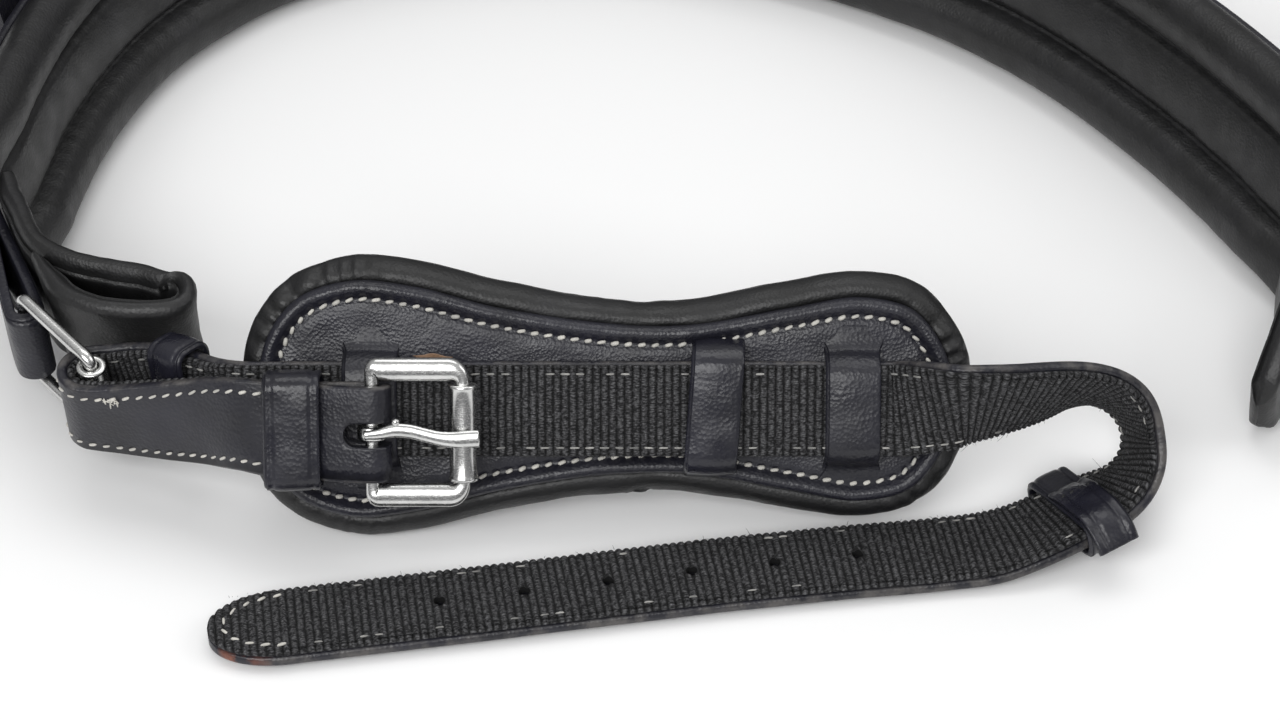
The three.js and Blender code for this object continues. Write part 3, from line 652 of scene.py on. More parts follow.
# ---- Strap ----
def strap_pairs():
    """The strap's route: where its leather meets its webbing, from the folded-back end to the tip."""
    across = BUCKLE["across"]
    flat = edge(PAD_TILT)
    fold = BUCKLE["wire"] / 2 + 0.3
    pairs = [(on_pad(-67, across + 0.2, 7.9), flat), (on_pad(-61, across, 7.9), flat)]
    pairs.append((on_pad(-56, across, 8), flat))
    for angle in range(-90, 91, 45):
        x = BUCKLE["bar"] + fold * math.cos(math.radians(angle))
        out = BUCKLE["height"] + fold * math.sin(math.radians(angle))
        pairs.append((on_pad(x, across, out), flat))
    pairs += [(on_pad(-56, across, 10.1), flat), (on_pad(-61.5, across + 0.2, 8.7), flat)]
    pairs += [(on_pad(-68, across + 0.5, 8.4), edge(59)), ((-75, -48.4, 27.7), edge(67))]
    pairs += [((-83, -44.3, 24.6), edge(79)), ((-92, -41.2, 22), edge(88)), ((-100.5, -38.8, 20.4), edge(95))]
    wrap = ROLLER_OUTER / 2 + 0.3 + WEBBING_THICK + 0.2
    for angle in range(270, 89, -30):
        x = LEFT_ROLLER[0] + wrap * math.cos(math.radians(angle))
        y = LEFT_ROLLER[1] + wrap * math.sin(math.radians(angle))
        pairs.append(((x, y, ROLLER_HEIGHT), edge(90 + LEFT_LEAN)))
    pairs += [((-99.5, -28.9, 20.3), edge(95)), ((-92.5, -31.5, 21.7), edge(88))]
    pairs += [((-86, -36.2, 23.5), edge(78)), ((-80.5, -40.9, 25.1), edge(67)), (on_pad(-75.5, 0, 2.3), flat)]
    pairs += [(on_pad(x, 0, 2.5), flat) for x in (-66, -40, 0, 30, 45, 48.5)]
    pairs += [((54, -46.3, 29.4), edge(74)), ((61, -48.3, 31.6), edge(90))]
    pairs.append(((70, -45.8, 30.6), (0, -0.2, 0.97)))
    pairs += [((79.2, -41, 28.2), (0, -0.37, 0.92)), ((87.2, -36.5, 24.6), (0, -0.54, 0.84))]
    pairs += [((93.4, -34, 19.4), (-0.03, -0.62, 0.77)), ((98.2, -36.2, 13.2), (0.02, -0.7, 0.68))]
    pairs += [((96.6, -41.2, 8.8), (0.14, -0.83, 0.5)), ((90.6, -46.2, 6.8), (0.2, -0.93, 0.28))]
    pairs += [((84, -50.2, 6.2), (0.06, -0.97, 0.16)), ((77, -53.8, 5.1), (0, -1, 0.12))]
    height = STRAP_LEATHER + STRAP_WIDTH / 2 * math.tan(math.radians(TAIL_TILT))
    tail = ((68, -56.4, 0.6), (58, -57.8, 0), (40, -60, 0), (12, -63.9, 0), (-26, -70.2, 0), (-58, -75.4, 0))
    for x, y, more in (*tail, (-80.5, -79, 0)):
        pairs.append(((x, y, height + more), edge(180 - TAIL_TILT)))
    return [(np.array(p, float), np.array(u, float)) for p, u in pairs]


def eased(route, first, last, reach):
    """The route with its bends between two spans softened over a length."""
    low, high = route.at_span(first), route.at_span(last)
    width = max(3, int(reach / (route.travelled[1] - route.travelled[0])))
    window = np.hanning(width + 2)[1:-1]
    window /= window.sum()
    inside = np.minimum(route.travelled - low, high - route.travelled)
    share = smooth_step(np.clip(inside / reach, 0, 1))[:, None]

    def soften(values):
        padded = np.vstack([values[:1]] * (width // 2) + [values] + [values[-1:]] * (width - 1 - width // 2))
        smooth = np.column_stack([np.convolve(padded[:, k], window, "valid") for k in range(3)])
        return values + share * (smooth - values)

    route.turn_to(soften(route.at), soften(route.up))
    return route


strap = eased(route_through(strap_pairs(), RIB_PITCH / 6), *CURL, CURL_EASE)
WEBBING_FROM = strap.at_span(WEBBING_START)


def tip_share(travelled, length):
    """How wide the strap is near its round tip, as a share of its width."""
    left = np.clip((length - travelled) / TIP_LENGTH, 0, 1)
    return np.where(left >= 1, 1, np.sqrt(np.clip(1 - (1 - left) ** 2.2, 0.0004, 1)))


def tip_steps(route, start=0.0):
    """Stations from a start to the tip, closer together where the tip rounds."""
    body = route.travelled[(route.travelled >= start) & (route.travelled < route.length - TIP_LENGTH)]
    tip = route.length - TIP_LENGTH * (1 - np.linspace(0, 1, 40)) ** 1.8
    places = np.concatenate([body, tip])
    at, *axes = route.frame_at(places)
    return Route(places, np.interp(places, route.travelled, route.span), at, axes, route.length)


def hole_centres():
    places = strap.length - HOLES["first"] - np.arange(HOLES["count"]) * HOLES["pitch"]
    return strap.frame_at(places)


def cut_away(piece, points, faces):
    """Takes closed shapes, given in layout millimetres, out of a piece."""
    cutter = linked("cutter", layout_mesh("cutter", points, faces))
    cut = piece.modifiers.new("cut", "BOOLEAN")
    cut.object = cutter
    cut.operation = "DIFFERENCE"
    cut.solver = "EXACT"
    bpy.context.view_layer.objects.active = piece
    bpy.ops.object.modifier_apply(modifier="cut")
    bpy.data.objects.remove(cutter)


def prism(at, x_axis, y_axis, half_x, half_y, reach):
    """A closed prism whose section is an oval with straight sides."""
    ring = np.array(rounded_ring(half_x, half_y, min(half_x, half_y) - 1e-3, 6))
    z_axis = np.cross(x_axis, y_axis)
    flat = at + ring[:, :1] * x_axis + ring[:, 1:] * y_axis
    points = np.vstack([flat - reach * z_axis, flat + reach * z_axis])
    count = len(ring)
    faces = [(j, (j + 1) % count, count + (j + 1) % count, count + j) for j in range(count)]
    faces += [tuple(range(count - 1, -1, -1)), tuple(range(count, 2 * count))]
    return points, faces


def punched(piece, radius):
    """Cuts the buckle holes through a piece of the tail."""
    points, faces = [], []
    at, along, up, _ = hole_centres()
    for centre, x_axis, y_axis in zip(at, along, up):
        more, sides = prism(centre, x_axis, y_axis, radius, radius, 7)
        faces += [tuple(len(points) + j for j in side) for side in sides]
        points += list(more)
    cut_away(piece, points, faces)


def tongue_slot():
    """The slot in the strap's fold that the buckle's tongue moves in."""
    middle = on_pad(BUCKLE["bar"] - 0.2, BUCKLE["across"], BUCKLE["height"])
    return prism(middle, np.array([1.0, 0, 0]), edge(PAD_TILT), 5, 2.3, 7)


def build_strap():
    half = STRAP_WIDTH / 2
    worn = with_worn_edges("strap_leather_worn", BRIDLE, half, strap.length)
    route = tip_steps(strap)
    share = tip_share(route.travelled, route.length)
    outline = route.repeated(rounded_box(-half, half, -STRAP_LEATHER, 0.1, 0.55, 6))
    outline[..., 0] *= share[:, None]
    creases = hills(np.column_stack([route.travelled / 3, route.travelled * 0, route.travelled * 0]), 6)
    outline[..., 1] += np.where(outline[..., 1] < -1, 0.12 * creases[:, None], 0)
    leather_piece = swept("strap_outside", route, outline)
    cut_away(leather_piece, *tongue_slot())
    punched(leather_piece, HOLES["leather"] / 2)
    finish_piece(leather_piece, worn, "strap", ["strap_leather"])

    route = tip_steps(strap, WEBBING_FROM)
    share = tip_share(route.travelled, route.length)
    half = WEBBING_WIDTH / 2
    outline = route.repeated(rounded_box(-half, half, 0, WEBBING_THICK, 0.5, 16))
    phase = route.travelled / RIB_PITCH
    rib = np.abs(np.sin(math.pi * phase)) ** 0.6
    seam = np.exp(-((np.abs(outline[..., 0]) - (half - STITCH_INSET + 0.4)) ** 2) / 0.5)
    outline[..., 1] += np.where(outline[..., 1] > 0.6, (rib - 0.65)[:, None] * 0.6 - 0.22 * seam, 0)
    ragged = hills(np.column_stack([np.floor(phase) * 7.3, phase * 0, phase * 0]), 1.7)
    outline[..., 0] *= (share * (1 + 0.012 * ragged + 0.012 * (rib - 0.5)))[:, None]
    web = swept("strap_webbing_ribs", route, outline)
    punched(web, HOLES["webbing"] / 2)
    finish_piece(web, WEBBING, "strap", ["strap_webbing"])


def build_strap_stitching():
    half = STRAP_WIDTH / 2 - STITCH_INSET
    outer = -STRAP_LEATHER - 0.08
    keeper_from, keeper_to = (strap.at_span(span) for span in FOLD_ROW)
    tip_from = strap.length - TIP_LENGTH - 1
    curl = strap.at_span(CURL_ROW_START)
    stretches = {"over_pad": (WEBBING_FROM + 4, curl, 0.75), "tail": (curl, tip_from, 0.3)}
    for side, across in (("upper", half), ("lower", -half)):
        row = row_on(f"strap_stitches_{side}_front", strap, keeper_from, tip_from, across, outer)
        finish_piece(row, CREAM, "strap")
        fold = row_on(f"fold_stitches_{side}", strap, keeper_from, keeper_to, across * 0.95, outer, thick=0.7)
        finish_piece(fold, CREAM, "strap")
        at = across + math.copysign(0.3, across)
        left = 1 if side == "lower" else 0.6
        for stretch, (low, high, keep) in stretches.items():
            name = f"webbing_stitches_{side}_{stretch}"
            look = {"thick": 0.42, "keep": keep * left, "slant": 0}
            finish_piece(row_on(name, strap, low, high, at, WEBBING_THICK, **look), GREY, "strap")
    turn = np.radians(np.linspace(90, -90, 40))
    reach = TIP_LENGTH - STITCH_INSET - 0.6
    at, along, up, face = strap.one_frame(strap.length - TIP_LENGTH)
    for name, out in (("tip_stitches_web", WEBBING_THICK + 0.05), ("tip_stitches_front", outer)):
        centres = at + np.outer(np.cos(turn) * reach, along) + np.outer(np.sin(turn) * half, up) + out * face
        normals = np.tile(face * np.sign(out), (len(turn), 1))
        finish_piece(stitches(name, centres, normals, keep=0.9), CREAM, "strap")


# ---- Keepers ----
def keeper(cad, body, centre, along, wide, inside, length):
    """A leather loop round the strap, its faces a little crowned and its edges rounded."""
    high = np.cross(along, wide)
    middle = KEEPER_THICK / 2
    ring = thinned(rounded_ring(inside[0] / 2 + middle, inside[1] / 2 + middle, 2.2), 0.25)
    pairs = [(centre + x * wide + y * high, np.cross(wide, high)) for x, y in ring]
    route = route_through(pairs, 0.6, closed=True)
    outline = route.repeated(rounded_box(-length / 2, length / 2, -middle, middle, 0.45, 24))
    bulge = np.cos(outline[..., 0] / length * math.pi)
    outward = np.sign(((route.at - centre) * route.face).sum(1))[:, None]
    creases = hump(np.abs(outline[..., 0]), length / 2 - 1.5, 0.35)
    outer = outline[..., 1] * outward > 0
    outline[..., 1] += outward * (0.25 * bulge - 0.3 * creases * outer)
    outline[..., 1] += 0.16 * hills(route.spread(outline[..., :1]), 4.5, 3.1)
    return finish_piece(swept(f"{cad}_loop", route, outline), KEEPER, body, [cad])


def keeper_at(cad, body, span, middle, inside, length):
    """A keeper round the strap at a place along it; middle is how far off the route it is centred."""
    at, along, up, face = strap.one_frame(strap.at_span(span))
    return keeper(cad, body, at + middle * face, along, up, inside, length)


def build_keepers():
    by_buckle = on_pad(-65, BUCKLE["across"] + 0.2, 8.5)
    keeper("buckle_keeper", "strap", by_buckle, np.array([-1.0, 0, 0]), edge(58.6), (19.6, 6), 10.6)
    keeper_at("ring_keeper", "strap", RING_KEEPER, -0.45, (19.2, 5.9), 9)
    keeper_at("tail_keeper", "tail_keeper", TAIL_KEEPER, -0.1, (19.2, 5.4), 8.4)
    build_tail_keeper_end()


def build_tail_keeper_end():
    """The keeper's outer ply, whose cut end stands out past the strap's near edge."""
    at, along, up, face = strap.one_frame(strap.at_span(TAIL_KEEPER))
    line = [(-2.2, 4.3), (0.5, 4.95), (4.5, 5.1), (8.6, 4.7), (11.2, 3.4), (12.9, 1.5), (14.2, -0.6)]
    route = route_through([(at + x * up + y * face, along) for x, y in line], 0.4)
    outline = route.repeated(rounded_box(-4.4, 4.4, -KEEPER_THICK / 2, KEEPER_THICK / 2, 0.4, 24))
    for crease in (-2.4, 2.2):
        outline[..., 1] -= 0.3 * hump(outline[..., 0], crease, 0.45) * np.sign(outline[..., 1])
    outline[..., 1] += 0.3 * hills(route.spread(outline[..., :1]), 3.5, 4.0)
    piece = swept("tail_keeper_end", route, outline)
    finish_piece(piece, KEEPER, "tail_keeper")
    centres = np.array([at + 1.1 * up + 5.55 * face + k * along for k in np.linspace(-4, 4, 9)])
    row = stitches("tail_keeper_stitches", centres, np.tile(face, (9, 1)), pitch=1.9, thick=0.6)
    finish_piece(row, BLACK_THREAD, "tail_keeper")


def fuzz(name, low, high, across, count, longest):
    """Loose fibres worn out of the webbing's edge, as fine curled hairs."""
    at, along, up, face = strap.frame_at(np.sort(rng.uniform(low, high, count)))
    start = at + across * up + rng.uniform(0.2, WEBBING_THICK, (count, 1)) * face
    out = unit(up * np.sign(across) + 0.45 * rng.normal(0, 1, (count, 3)) + 0.3 * face)
    length = longest * rng.uniform(0.25, 1, (count, 1)) ** 1.6
    curl = rng.normal(0, 0.6, (count, 3)) * length
    steps = np.linspace(0, 1, 5)
    lines = np.stack([start + out * length * t + curl * t**2 for t in steps], 1)
    side = unit(np.cross(out, along + 0.01))
    other = np.cross(out, side)
    points, faces = [], []
    for k in range(count):
        base = len(points)
        for t in range(5):
            thick = 0.06 * (1 - 0.6 * steps[t])
            for turn in (0, 2 * math.pi / 3, 4 * math.pi / 3):
                points.append(lines[k, t] + thick * (math.cos(turn) * side[k] + math.sin(turn) * other[k]))
        for t in range(4):
            for j in range(3):
                a, b = base + 3 * t + j, base + 3 * t + (j + 1) % 3
                faces.append((a, b, b + 3, a + 3))
        faces += [(base + 2, base + 1, base), (base + 12, base + 13, base + 14)]
    return finish_piece(to_object(name, points, faces), WEBBING_FLUFF, "strap")


def build_fuzz():
    half = WEBBING_WIDTH / 2
    curl, tail, end = strap.at_span(CURL_ROW_START), strap.at_span(TAIL_START), strap.length - 3
    fuzz("webbing_fluff_curl", curl, tail, half, 150, 1.5)
    fuzz("webbing_fluff_curl_far", curl, tail, -half, 90, 1.3)
    fuzz("webbing_fluff_tail", tail, end, half, 110, 0.6)
    fuzz("webbing_fluff_tail_far", tail, end, -half, 130, 0.75)
    fuzz("webbing_fluff_pad", strap.at_span(PAD_MIDDLE), strap.at_span(CURL[0]), -half, 110, 1.0)


def build_worn_places():
    """A torn thread end by the strap's bend, and pale leather at the rim of the plate's slot."""
    bend = strap.at_span(WORN_BEND)
    at, along, up, face = strap.frame_at(np.sort(rng.uniform(bend - 8, bend - 4.5, 16)))
    centres = at + (STRAP_WIDTH / 2 - STITCH_INSET - rng.uniform(0, 1.6, (16, 1))) * up - 2.2 * face
    lean = unit(along + rng.normal(0, 0.9, (16, 3)))
    tuft = capsules("loose_thread", centres, lean, -face, rng.uniform(0.9, 2.1, 16), rng.uniform(0.2, 0.38, 16))
    finish_piece(tuft, CREAM, "strap")
    line = [(-43, 10.2), (-41.4, 9.9), (-39, 10.0), (-36.8, 9.7), (-35.4, 9.9)]
    route = route_through([(on_pad(x, y, 1.2), edge(PAD_TILT)) for x, y in line], 0.3)
    share = np.sin(math.pi * np.clip(route.travelled / route.length, 0.02, 0.98))
    outline = np.stack([ellipse(1.3 * k, 0.8 * k, 10) for k in share])
    outline += 0.12 * hills(np.repeat(route.at[:, None], 10, 1) + outline[..., :1], 0.8)[..., None]
    finish_piece(swept("slot_raw_edge", route, outline), RAW, "pad")


# ---- Metal ----
def ring_of_wire(name, origin, x_axis, y_axis, half_x, half_y, corner, section):
    """A closed frame of wire in a plane; section gives each station's outline."""
    kept = thinned(rounded_ring(half_x, half_y, corner, 10), 0.05)
    dense = []
    for k, point in enumerate(kept):
        after = kept[(k + 1) % len(kept)]
        steps = max(1, int(math.dist(point, after) / 1.2))
        dense += [np.add(point, np.subtract(after, point) * s / steps) for s in range(steps)]
    normal = np.cross(x_axis, y_axis)
    pairs = [(origin + x * x_axis + y * y_axis, normal) for x, y in dense]
    route = route_through(pairs, 0.35, closed=True)
    return swept(name, route, section(route))


def turned(name, centre, axis, profile, around=48):
    """A round part: profile is (along the axis, radius) pairs, closed on itself."""
    axis = unit(np.asarray(axis, float))
    side = unit(np.cross(axis, [0.31, 0.87, -0.4]))
    other = np.cross(axis, side)
    angle = np.linspace(0, 2 * math.pi, around, endpoint=False)
    out = np.cos(angle)[:, None] * side + np.sin(angle)[:, None] * other
    rings = np.stack([centre + along * axis + radius * out for along, radius in profile], 1)
    return grid(name, rings, np.zeros_like(rings), closed=True)


def roller_profile(length, outer, bore, flare):
    """A rolled sleeve, with its rims turned out a little."""
    half = length / 2
    r, b = outer / 2, bore / 2
    side = [(-half + 0.25, r + flare), (-half + 0.7, r + flare * 0.6), (-half + 1.3, r)]
    side += [(-half * 0.5, r), (0, r)]
    outside = side + [(-x, y) for x, y in side[-2::-1]]
    rims = [(half, r - 0.1), (half, b + 0.15), (half - 0.2, b), (0, b), (-half + 0.2, b), (-half, b + 0.15)]
    return outside + rims + [(-half, r - 0.1)]


def build_loop(side, leg, roller, lean):
    """A loop of wire from its leg in the chape to the side that its roller turns on."""
    up = edge(90 + lean)
    leg3 = np.array([*leg, LOOP_HEIGHT], float)
    roller3 = np.array([*roller, LOOP_HEIGHT], float)
    along = roller3 - leg3
    half = np.linalg.norm(along) / 2
    along = unit(along - (along @ up) * up)
    middle = (leg3 + roller3) / 2
    section = ellipse(LOOP_WIRE * 1.05, LOOP_WIRE, 20, 2.2)
    half_high = (LOOP_INSIDE + LOOP_WIRE) / 2
    ring = ring_of_wire(f"{side}_loop_wire", middle, along, up, half, half_high, 2.2, lambda route: section)
    finish_piece(ring, STEEL, f"{side}_loop", [f"{side}_loop"])
    profile = roller_profile(LOOP_INSIDE - 0.6, ROLLER_OUTER, LOOP_WIRE + 0.6, 0.12)
    sleeve = turned(f"{side}_loop_sleeve", middle + half * along, up, profile)
    finish_piece(sleeve, STEEL, f"{side}_loop_roller", [f"{side}_loop_roller"])


def build_buckle():
    """The frame, flattened on its two legs, with its roller and its tongue."""
    x_axis, across, out = np.array([1.0, 0, 0]), edge(PAD_TILT), edge(PAD_TILT + 90)
    bar = on_pad(BUCKLE["bar"], BUCKLE["across"], BUCKLE["height"])
    reach = BUCKLE["roller"] - BUCKLE["bar"]
    half_high = (BUCKLE["inside"] + BUCKLE["leg"]) / 2

    def section(route):
        on_leg = np.abs(route.along @ x_axis) ** 2
        wide = BUCKLE["wire"] + (BUCKLE["leg"] - BUCKLE["wire"]) * on_leg
        return np.stack([ellipse(BUCKLE["wire"] + 0.5 * k, w, 24, 2.4) for w, k in zip(wide, on_leg)])

    middle, corners = bar + reach / 2 * x_axis, (2.6, 0.9, 0.9, 2.6)
    made = ring_of_wire("buckle_frame_forged", middle, x_axis, across, reach / 2, half_high, corners, section)
    finish_piece(made, STEEL, "buckle", ["buckle_frame"])
    profile = roller_profile(18.4, 5.2, BUCKLE["wire"] + 0.6, 0.28)
    sleeve = turned("buckle_roller_sleeve", bar + reach * x_axis, across, profile)
    finish_piece(sleeve, STEEL, "buckle_roller", ["buckle_roller"])

    def place(x, over, high):
        return bar + x * x_axis + over * across + high * out

    line = [(-1.2, -0.1, 2.1), (1.6, 0.3, 2.5), (4.4, 0.9, 2.75), (7.2, 0.8, 2.9), (10, 0.2, 3.3)]
    line += [(13, -0.4, 3.8), (16, -0.6, 4.05), (18, -0.5, 4.0), (20.2, -0.4, 3.85)]
    route = route_through([(place(*point), across) for point in line], 0.3)
    share = route.travelled / route.length
    flat = np.clip((share - 0.62) / 0.25, 0, 1)
    wide = 1.9 + 0.9 * np.clip(share / 0.3, 0, 1) + 0.5 * flat
    thick = 1.9 - 0.35 * flat
    outline = np.stack([ellipse(w, t, 20, 2.2) for w, t in zip(wide, thick)])
    tongue = swept("buckle_tongue_bar", route, outline)
    finish_piece(tongue, STEEL, "buckle_tongue", ["buckle_tongue"])
    nib_profile = [(-0.9, 0.02), (-0.9, 0.55), (0.5, 0.8), (0.95, 0.6), (1.1, 0.02)]
    nib = turned("buckle_tongue_nib", place(4.6, 2.2, 2.9), across + 0.2 * out, nib_profile, 20)
    finish_piece(nib, STEEL, "buckle_tongue")
    inner = BUCKLE["wire"] / 2 + 0.3
    eye_profile = [(-1.4, inner + 0.2), (-1.25, inner), (1.25, inner), (1.4, inner + 0.2), (1.4, inner + 0.9)]
    eye_profile += [(1.1, inner + 1.15), (-1.1, inner + 1.15), (-1.4, inner + 0.9)]
    eye = turned("buckle_tongue_eye", bar, across, eye_profile, 40)
    finish_piece(eye, STEEL, "buckle_tongue")


def plumped(piece, most):
    """Fills a padded piece by cloth simulation; no point moves by more than most millimetres.

    The piece keeps its modelled shape if the simulation gives a point that isn't finite.
    """
    before = np.array([v.co[:] for v in piece.data.vertices])
    cloth = piece.modifiers.new("cloth", "CLOTH")
    cloth.settings.use_pressure = True
    cloth.settings.uniform_pressure_force = 4
    cloth.settings.effector_weights.gravity = 0
    cloth.settings.quality = 4
    cloth.settings.tension_stiffness = 40
    cloth.settings.compression_stiffness = 40
    cloth.settings.bending_stiffness = 4
    cloth.point_cache.frame_start, cloth.point_cache.frame_end = 1, CLOTH_FRAMES
    for step in range(1, CLOTH_FRAMES + 1):
        bpy.context.scene.frame_set(step)
    shown = piece.evaluated_get(bpy.context.evaluated_depsgraph_get())
    after = np.array([v.co[:] for v in shown.data.vertices])
    piece.modifiers.remove(cloth)
    bpy.context.scene.frame_set(1)
    move = after - before
    size = np.maximum(np.linalg.norm(move, axis=1, keepdims=True), 1e-12)
    limit = most * MM
    move *= limit * np.tanh(size / limit) / size
    if np.isfinite(move).all():
        piece.data.vertices.foreach_set("co", (before + move).ravel())
        piece.data.update()


# ---- Jaw pad ----
def pad_ring():
    """The jaw pad's outline, in the pad's own frame."""
    lower = [(x, -half) for x, half in reversed(PAD_HALF[1:-1])]
    outline, _ = catmull([(x, y, 0) for x, y in PAD_HALF + lower], 14, closed=True)
    return outline[:, :2] + PAD_MIDPOINT


def profile_line(points, count):
    """A smooth line through flat points, at even steps."""
    line, _ = catmull([(a, b, 0) for a, b in points], 24)
    run = run_along(line)
    return between(np.linspace(0, run[-1], count), run, line[:, :2])


def near(ring, x, y, size):
    """How close an outline's points lie to a place, from 0 to 1."""
    return np.exp(-(((ring[:, 0] - x) ** 2 + (ring[:, 1] - y) ** 2) / size**2))


def build_pad_cover():
    bulge = [(-2.9, 7), (-2.0, 5.2), (-1.1, 3.9), (-1.5, 2.0), (-3.4, 0.4), (-5.6, 0)]
    bulge += [(-7.8, 0.6), (-10.4, 2.8), (-12.8, 6.4), (-14.2, 11)]
    profile = profile_line(bulge, 34)
    base = pad_ring()
    run = run_along(base)
    gathers = near(base, -66, 22, 17) + 0.75 * near(base, 61, 12, 9) + 0.6 * near(base, 56, -17, 10)
    gathers += 0.3 * near(base, -62, -23, 16)
    pleats = np.abs(np.sin(run * math.pi / 4.2 + 1.3 * np.sin(run / 7) + 0.9 * np.sin(run / 2.9))) ** 0.8
    rings = []
    for out, inset in profile:
        flat = moved_in(base, inset)
        ring = on_pad(flat[:, 0], flat[:, 1], out)
        push = unit(ring - on_pad(flat[:, 0] * 0.8, flat[:, 1] * 0.4, -7.0)) + edge(PAD_TILT + 90)
        dent = -gathers * hump(out, -2.0, 1.9) * (1.2 * (1 - pleats))
        rings.append(ring + push * dent[:, None])
    crown = [(0.8, 15.4), (0.55, 16), (0.3, 16.3), (0.08, 16.4)]
    last = moved_in(base, profile[-1][1])
    for share, depth in crown:
        shrink = np.array([share + (1 - share) * 0.35 * (share > 0.5), share])
        flat = PAD_MIDPOINT + (last - PAD_MIDPOINT) * shrink
        rings.append(on_pad(flat[:, 0], flat[:, 1], -depth))
    points = np.stack(rings)
    lumps = 0.5 * hills(points, 9, 5.0) + 0.2 * hills(points, 3.5, 9.0)
    points = points + unit(points - on_pad(0, 0, -7)) * lumps[..., None]
    piece = grid("pad_cover_soft", points, points * 0)
    plumped(piece, 0.5)
    finish_piece(piece, NAPPA, "pad", ["pad_cover", "pad_padding"])


def build_plate():
    ridge = [(-2.4, 4.9), (-1.2, 4.4), (0.1, 4.5), (0.95, 5.2), (1.05, 6), (0.5, 6.9)]
    ridge += [(-0.15, 7.6), (-0.25, 8.1), (0.05, 8.9), (0.2, 10.2)]
    profile = profile_line(ridge, 30)
    base = pad_ring()
    rings = []
    for out, inset in profile:
        rings.append(on_pad(*moved_in(base, inset).T, out))
    last = moved_in(base, profile[-1][1])
    for share in np.linspace(0.94, 0.02, 22):
        flat = PAD_MIDPOINT + (last - PAD_MIDPOINT) * np.array([1, share])
        rings.append(on_pad(*flat.T, 0.2))
    points = np.stack(rings)
    normal = edge(PAD_TILT + 90)
    lumps = 0.3 * hills(points, 11, 2.0) + 0.16 * hills(points, 4, 4.0)
    points = points + lumps[..., None] * normal
    piece = grid("pad_plate_leather", points, points * 0)
    finish_piece(piece, PLATE, "pad", ["pad_plate"])
    centres = on_pad(*moved_in(base, 7.9).T, 0.12)
    centres = np.vstack([centres, centres[:1]])
    row = stitches("plate_stitches", centres, np.tile(normal, (len(centres), 1)), pitch=2.55, thick=0.85)
    finish_piece(row, CREAM, "pad")


def strip_over_strap(name, at, width, skew, line, thick, flare, cad, look):
    """A leather strip lying over the strap along a line of (across, out) points."""
    lean = math.tan(math.radians(skew))
    along = np.array([1.0, 0, 0])
    route = route_through([(on_pad(at + y * lean, y, out), along) for y, out in line], 0.5)
    share = np.abs(np.linspace(-1, 1, len(route.at)))
    outline = route.repeated(rounded_box(-width / 2, width / 2, -thick / 2, thick / 2, 0.5, 24))
    outline[..., 0] *= (1 + flare * np.clip((share - 0.66) / 0.34, 0, 1) ** 2)[:, None]
    outward = np.sign(route.face @ edge(PAD_TILT + 90))[:, None]
    outward = np.where(outward == 0, 1, outward)
    across = outline[..., 0]
    bulge = 0.35 * np.cos(np.clip(across / width, -0.5, 0.5) * math.pi)
    outline[..., 1] += outward * bulge
    outline[..., 1] += 0.15 * hills(route.spread(outline[..., :1]), 4.5, 1.0)
    finish_piece(swept(name, route, outline), look, "pad", cad)


def build_bridges():
    half = STRAP_WIDTH / 2
    for name, at in zip(("left", "right"), BRIDGES):
        rise = [(half + 6.6, -0.9), (half + 3.4, -0.5), (half + 1.5, 0.5), (half + 0.2, 2.9)]
        rise.append((half - 1.6, 4.5))
        line = [(-y, out) for y, out in rise] + [(0, 4.85)] + rise[::-1]
        strip_over_strap(f"pad_bridge_{name}", at, BRIDGE_WIDTH, 0, line, 1.5, 0.7, [], BRIDLE)
    rise = [(half + 3.4, -0.9), (half + 2.9, 0.9), (half + 2.0, 3.4), (half + 0.2, 5.0), (half - 3, 5.35)]
    line = [(-y, out) for y, out in rise] + [(0, 5.4)] + rise[::-1]
    strip_over_strap("pad_keeper_strip", *PAD_KEEPER.values(), line, 1.7, 0, ["pad_keeper"], KEEPER)


# ---- Band ----
def band_route(step):
    """The band's lower edge, with an up vector that leans out more towards the right end."""
    plan = [np.array([x, y, 0.0]) for x, y in BAND_PLAN]
    tangents = unit(np.gradient(catmull(plan, 40)[0], axis=0))[::40]
    pairs = []
    for at, along, lean in zip(plan, tangents, np.radians(np.linspace(*BAND_LEAN, len(plan)))):
        outward = np.cross([0, 0, 1.0], along)
        pairs.append((at, np.array([0, 0, math.cos(lean)]) + outward * math.sin(lean)))
    return route_through(pairs, step)


band = band_route(0.8)


def band_taper(travelled):
    """How thick the lining is, as a share, where the band runs out at its ends."""
    from_end = np.clip(np.minimum(travelled, band.length - travelled) / BAND_TAPER_LENGTH, 0, 1)
    return BAND_TAPER_SHARE + (1 - BAND_TAPER_SHARE) * smooth_step(from_end)


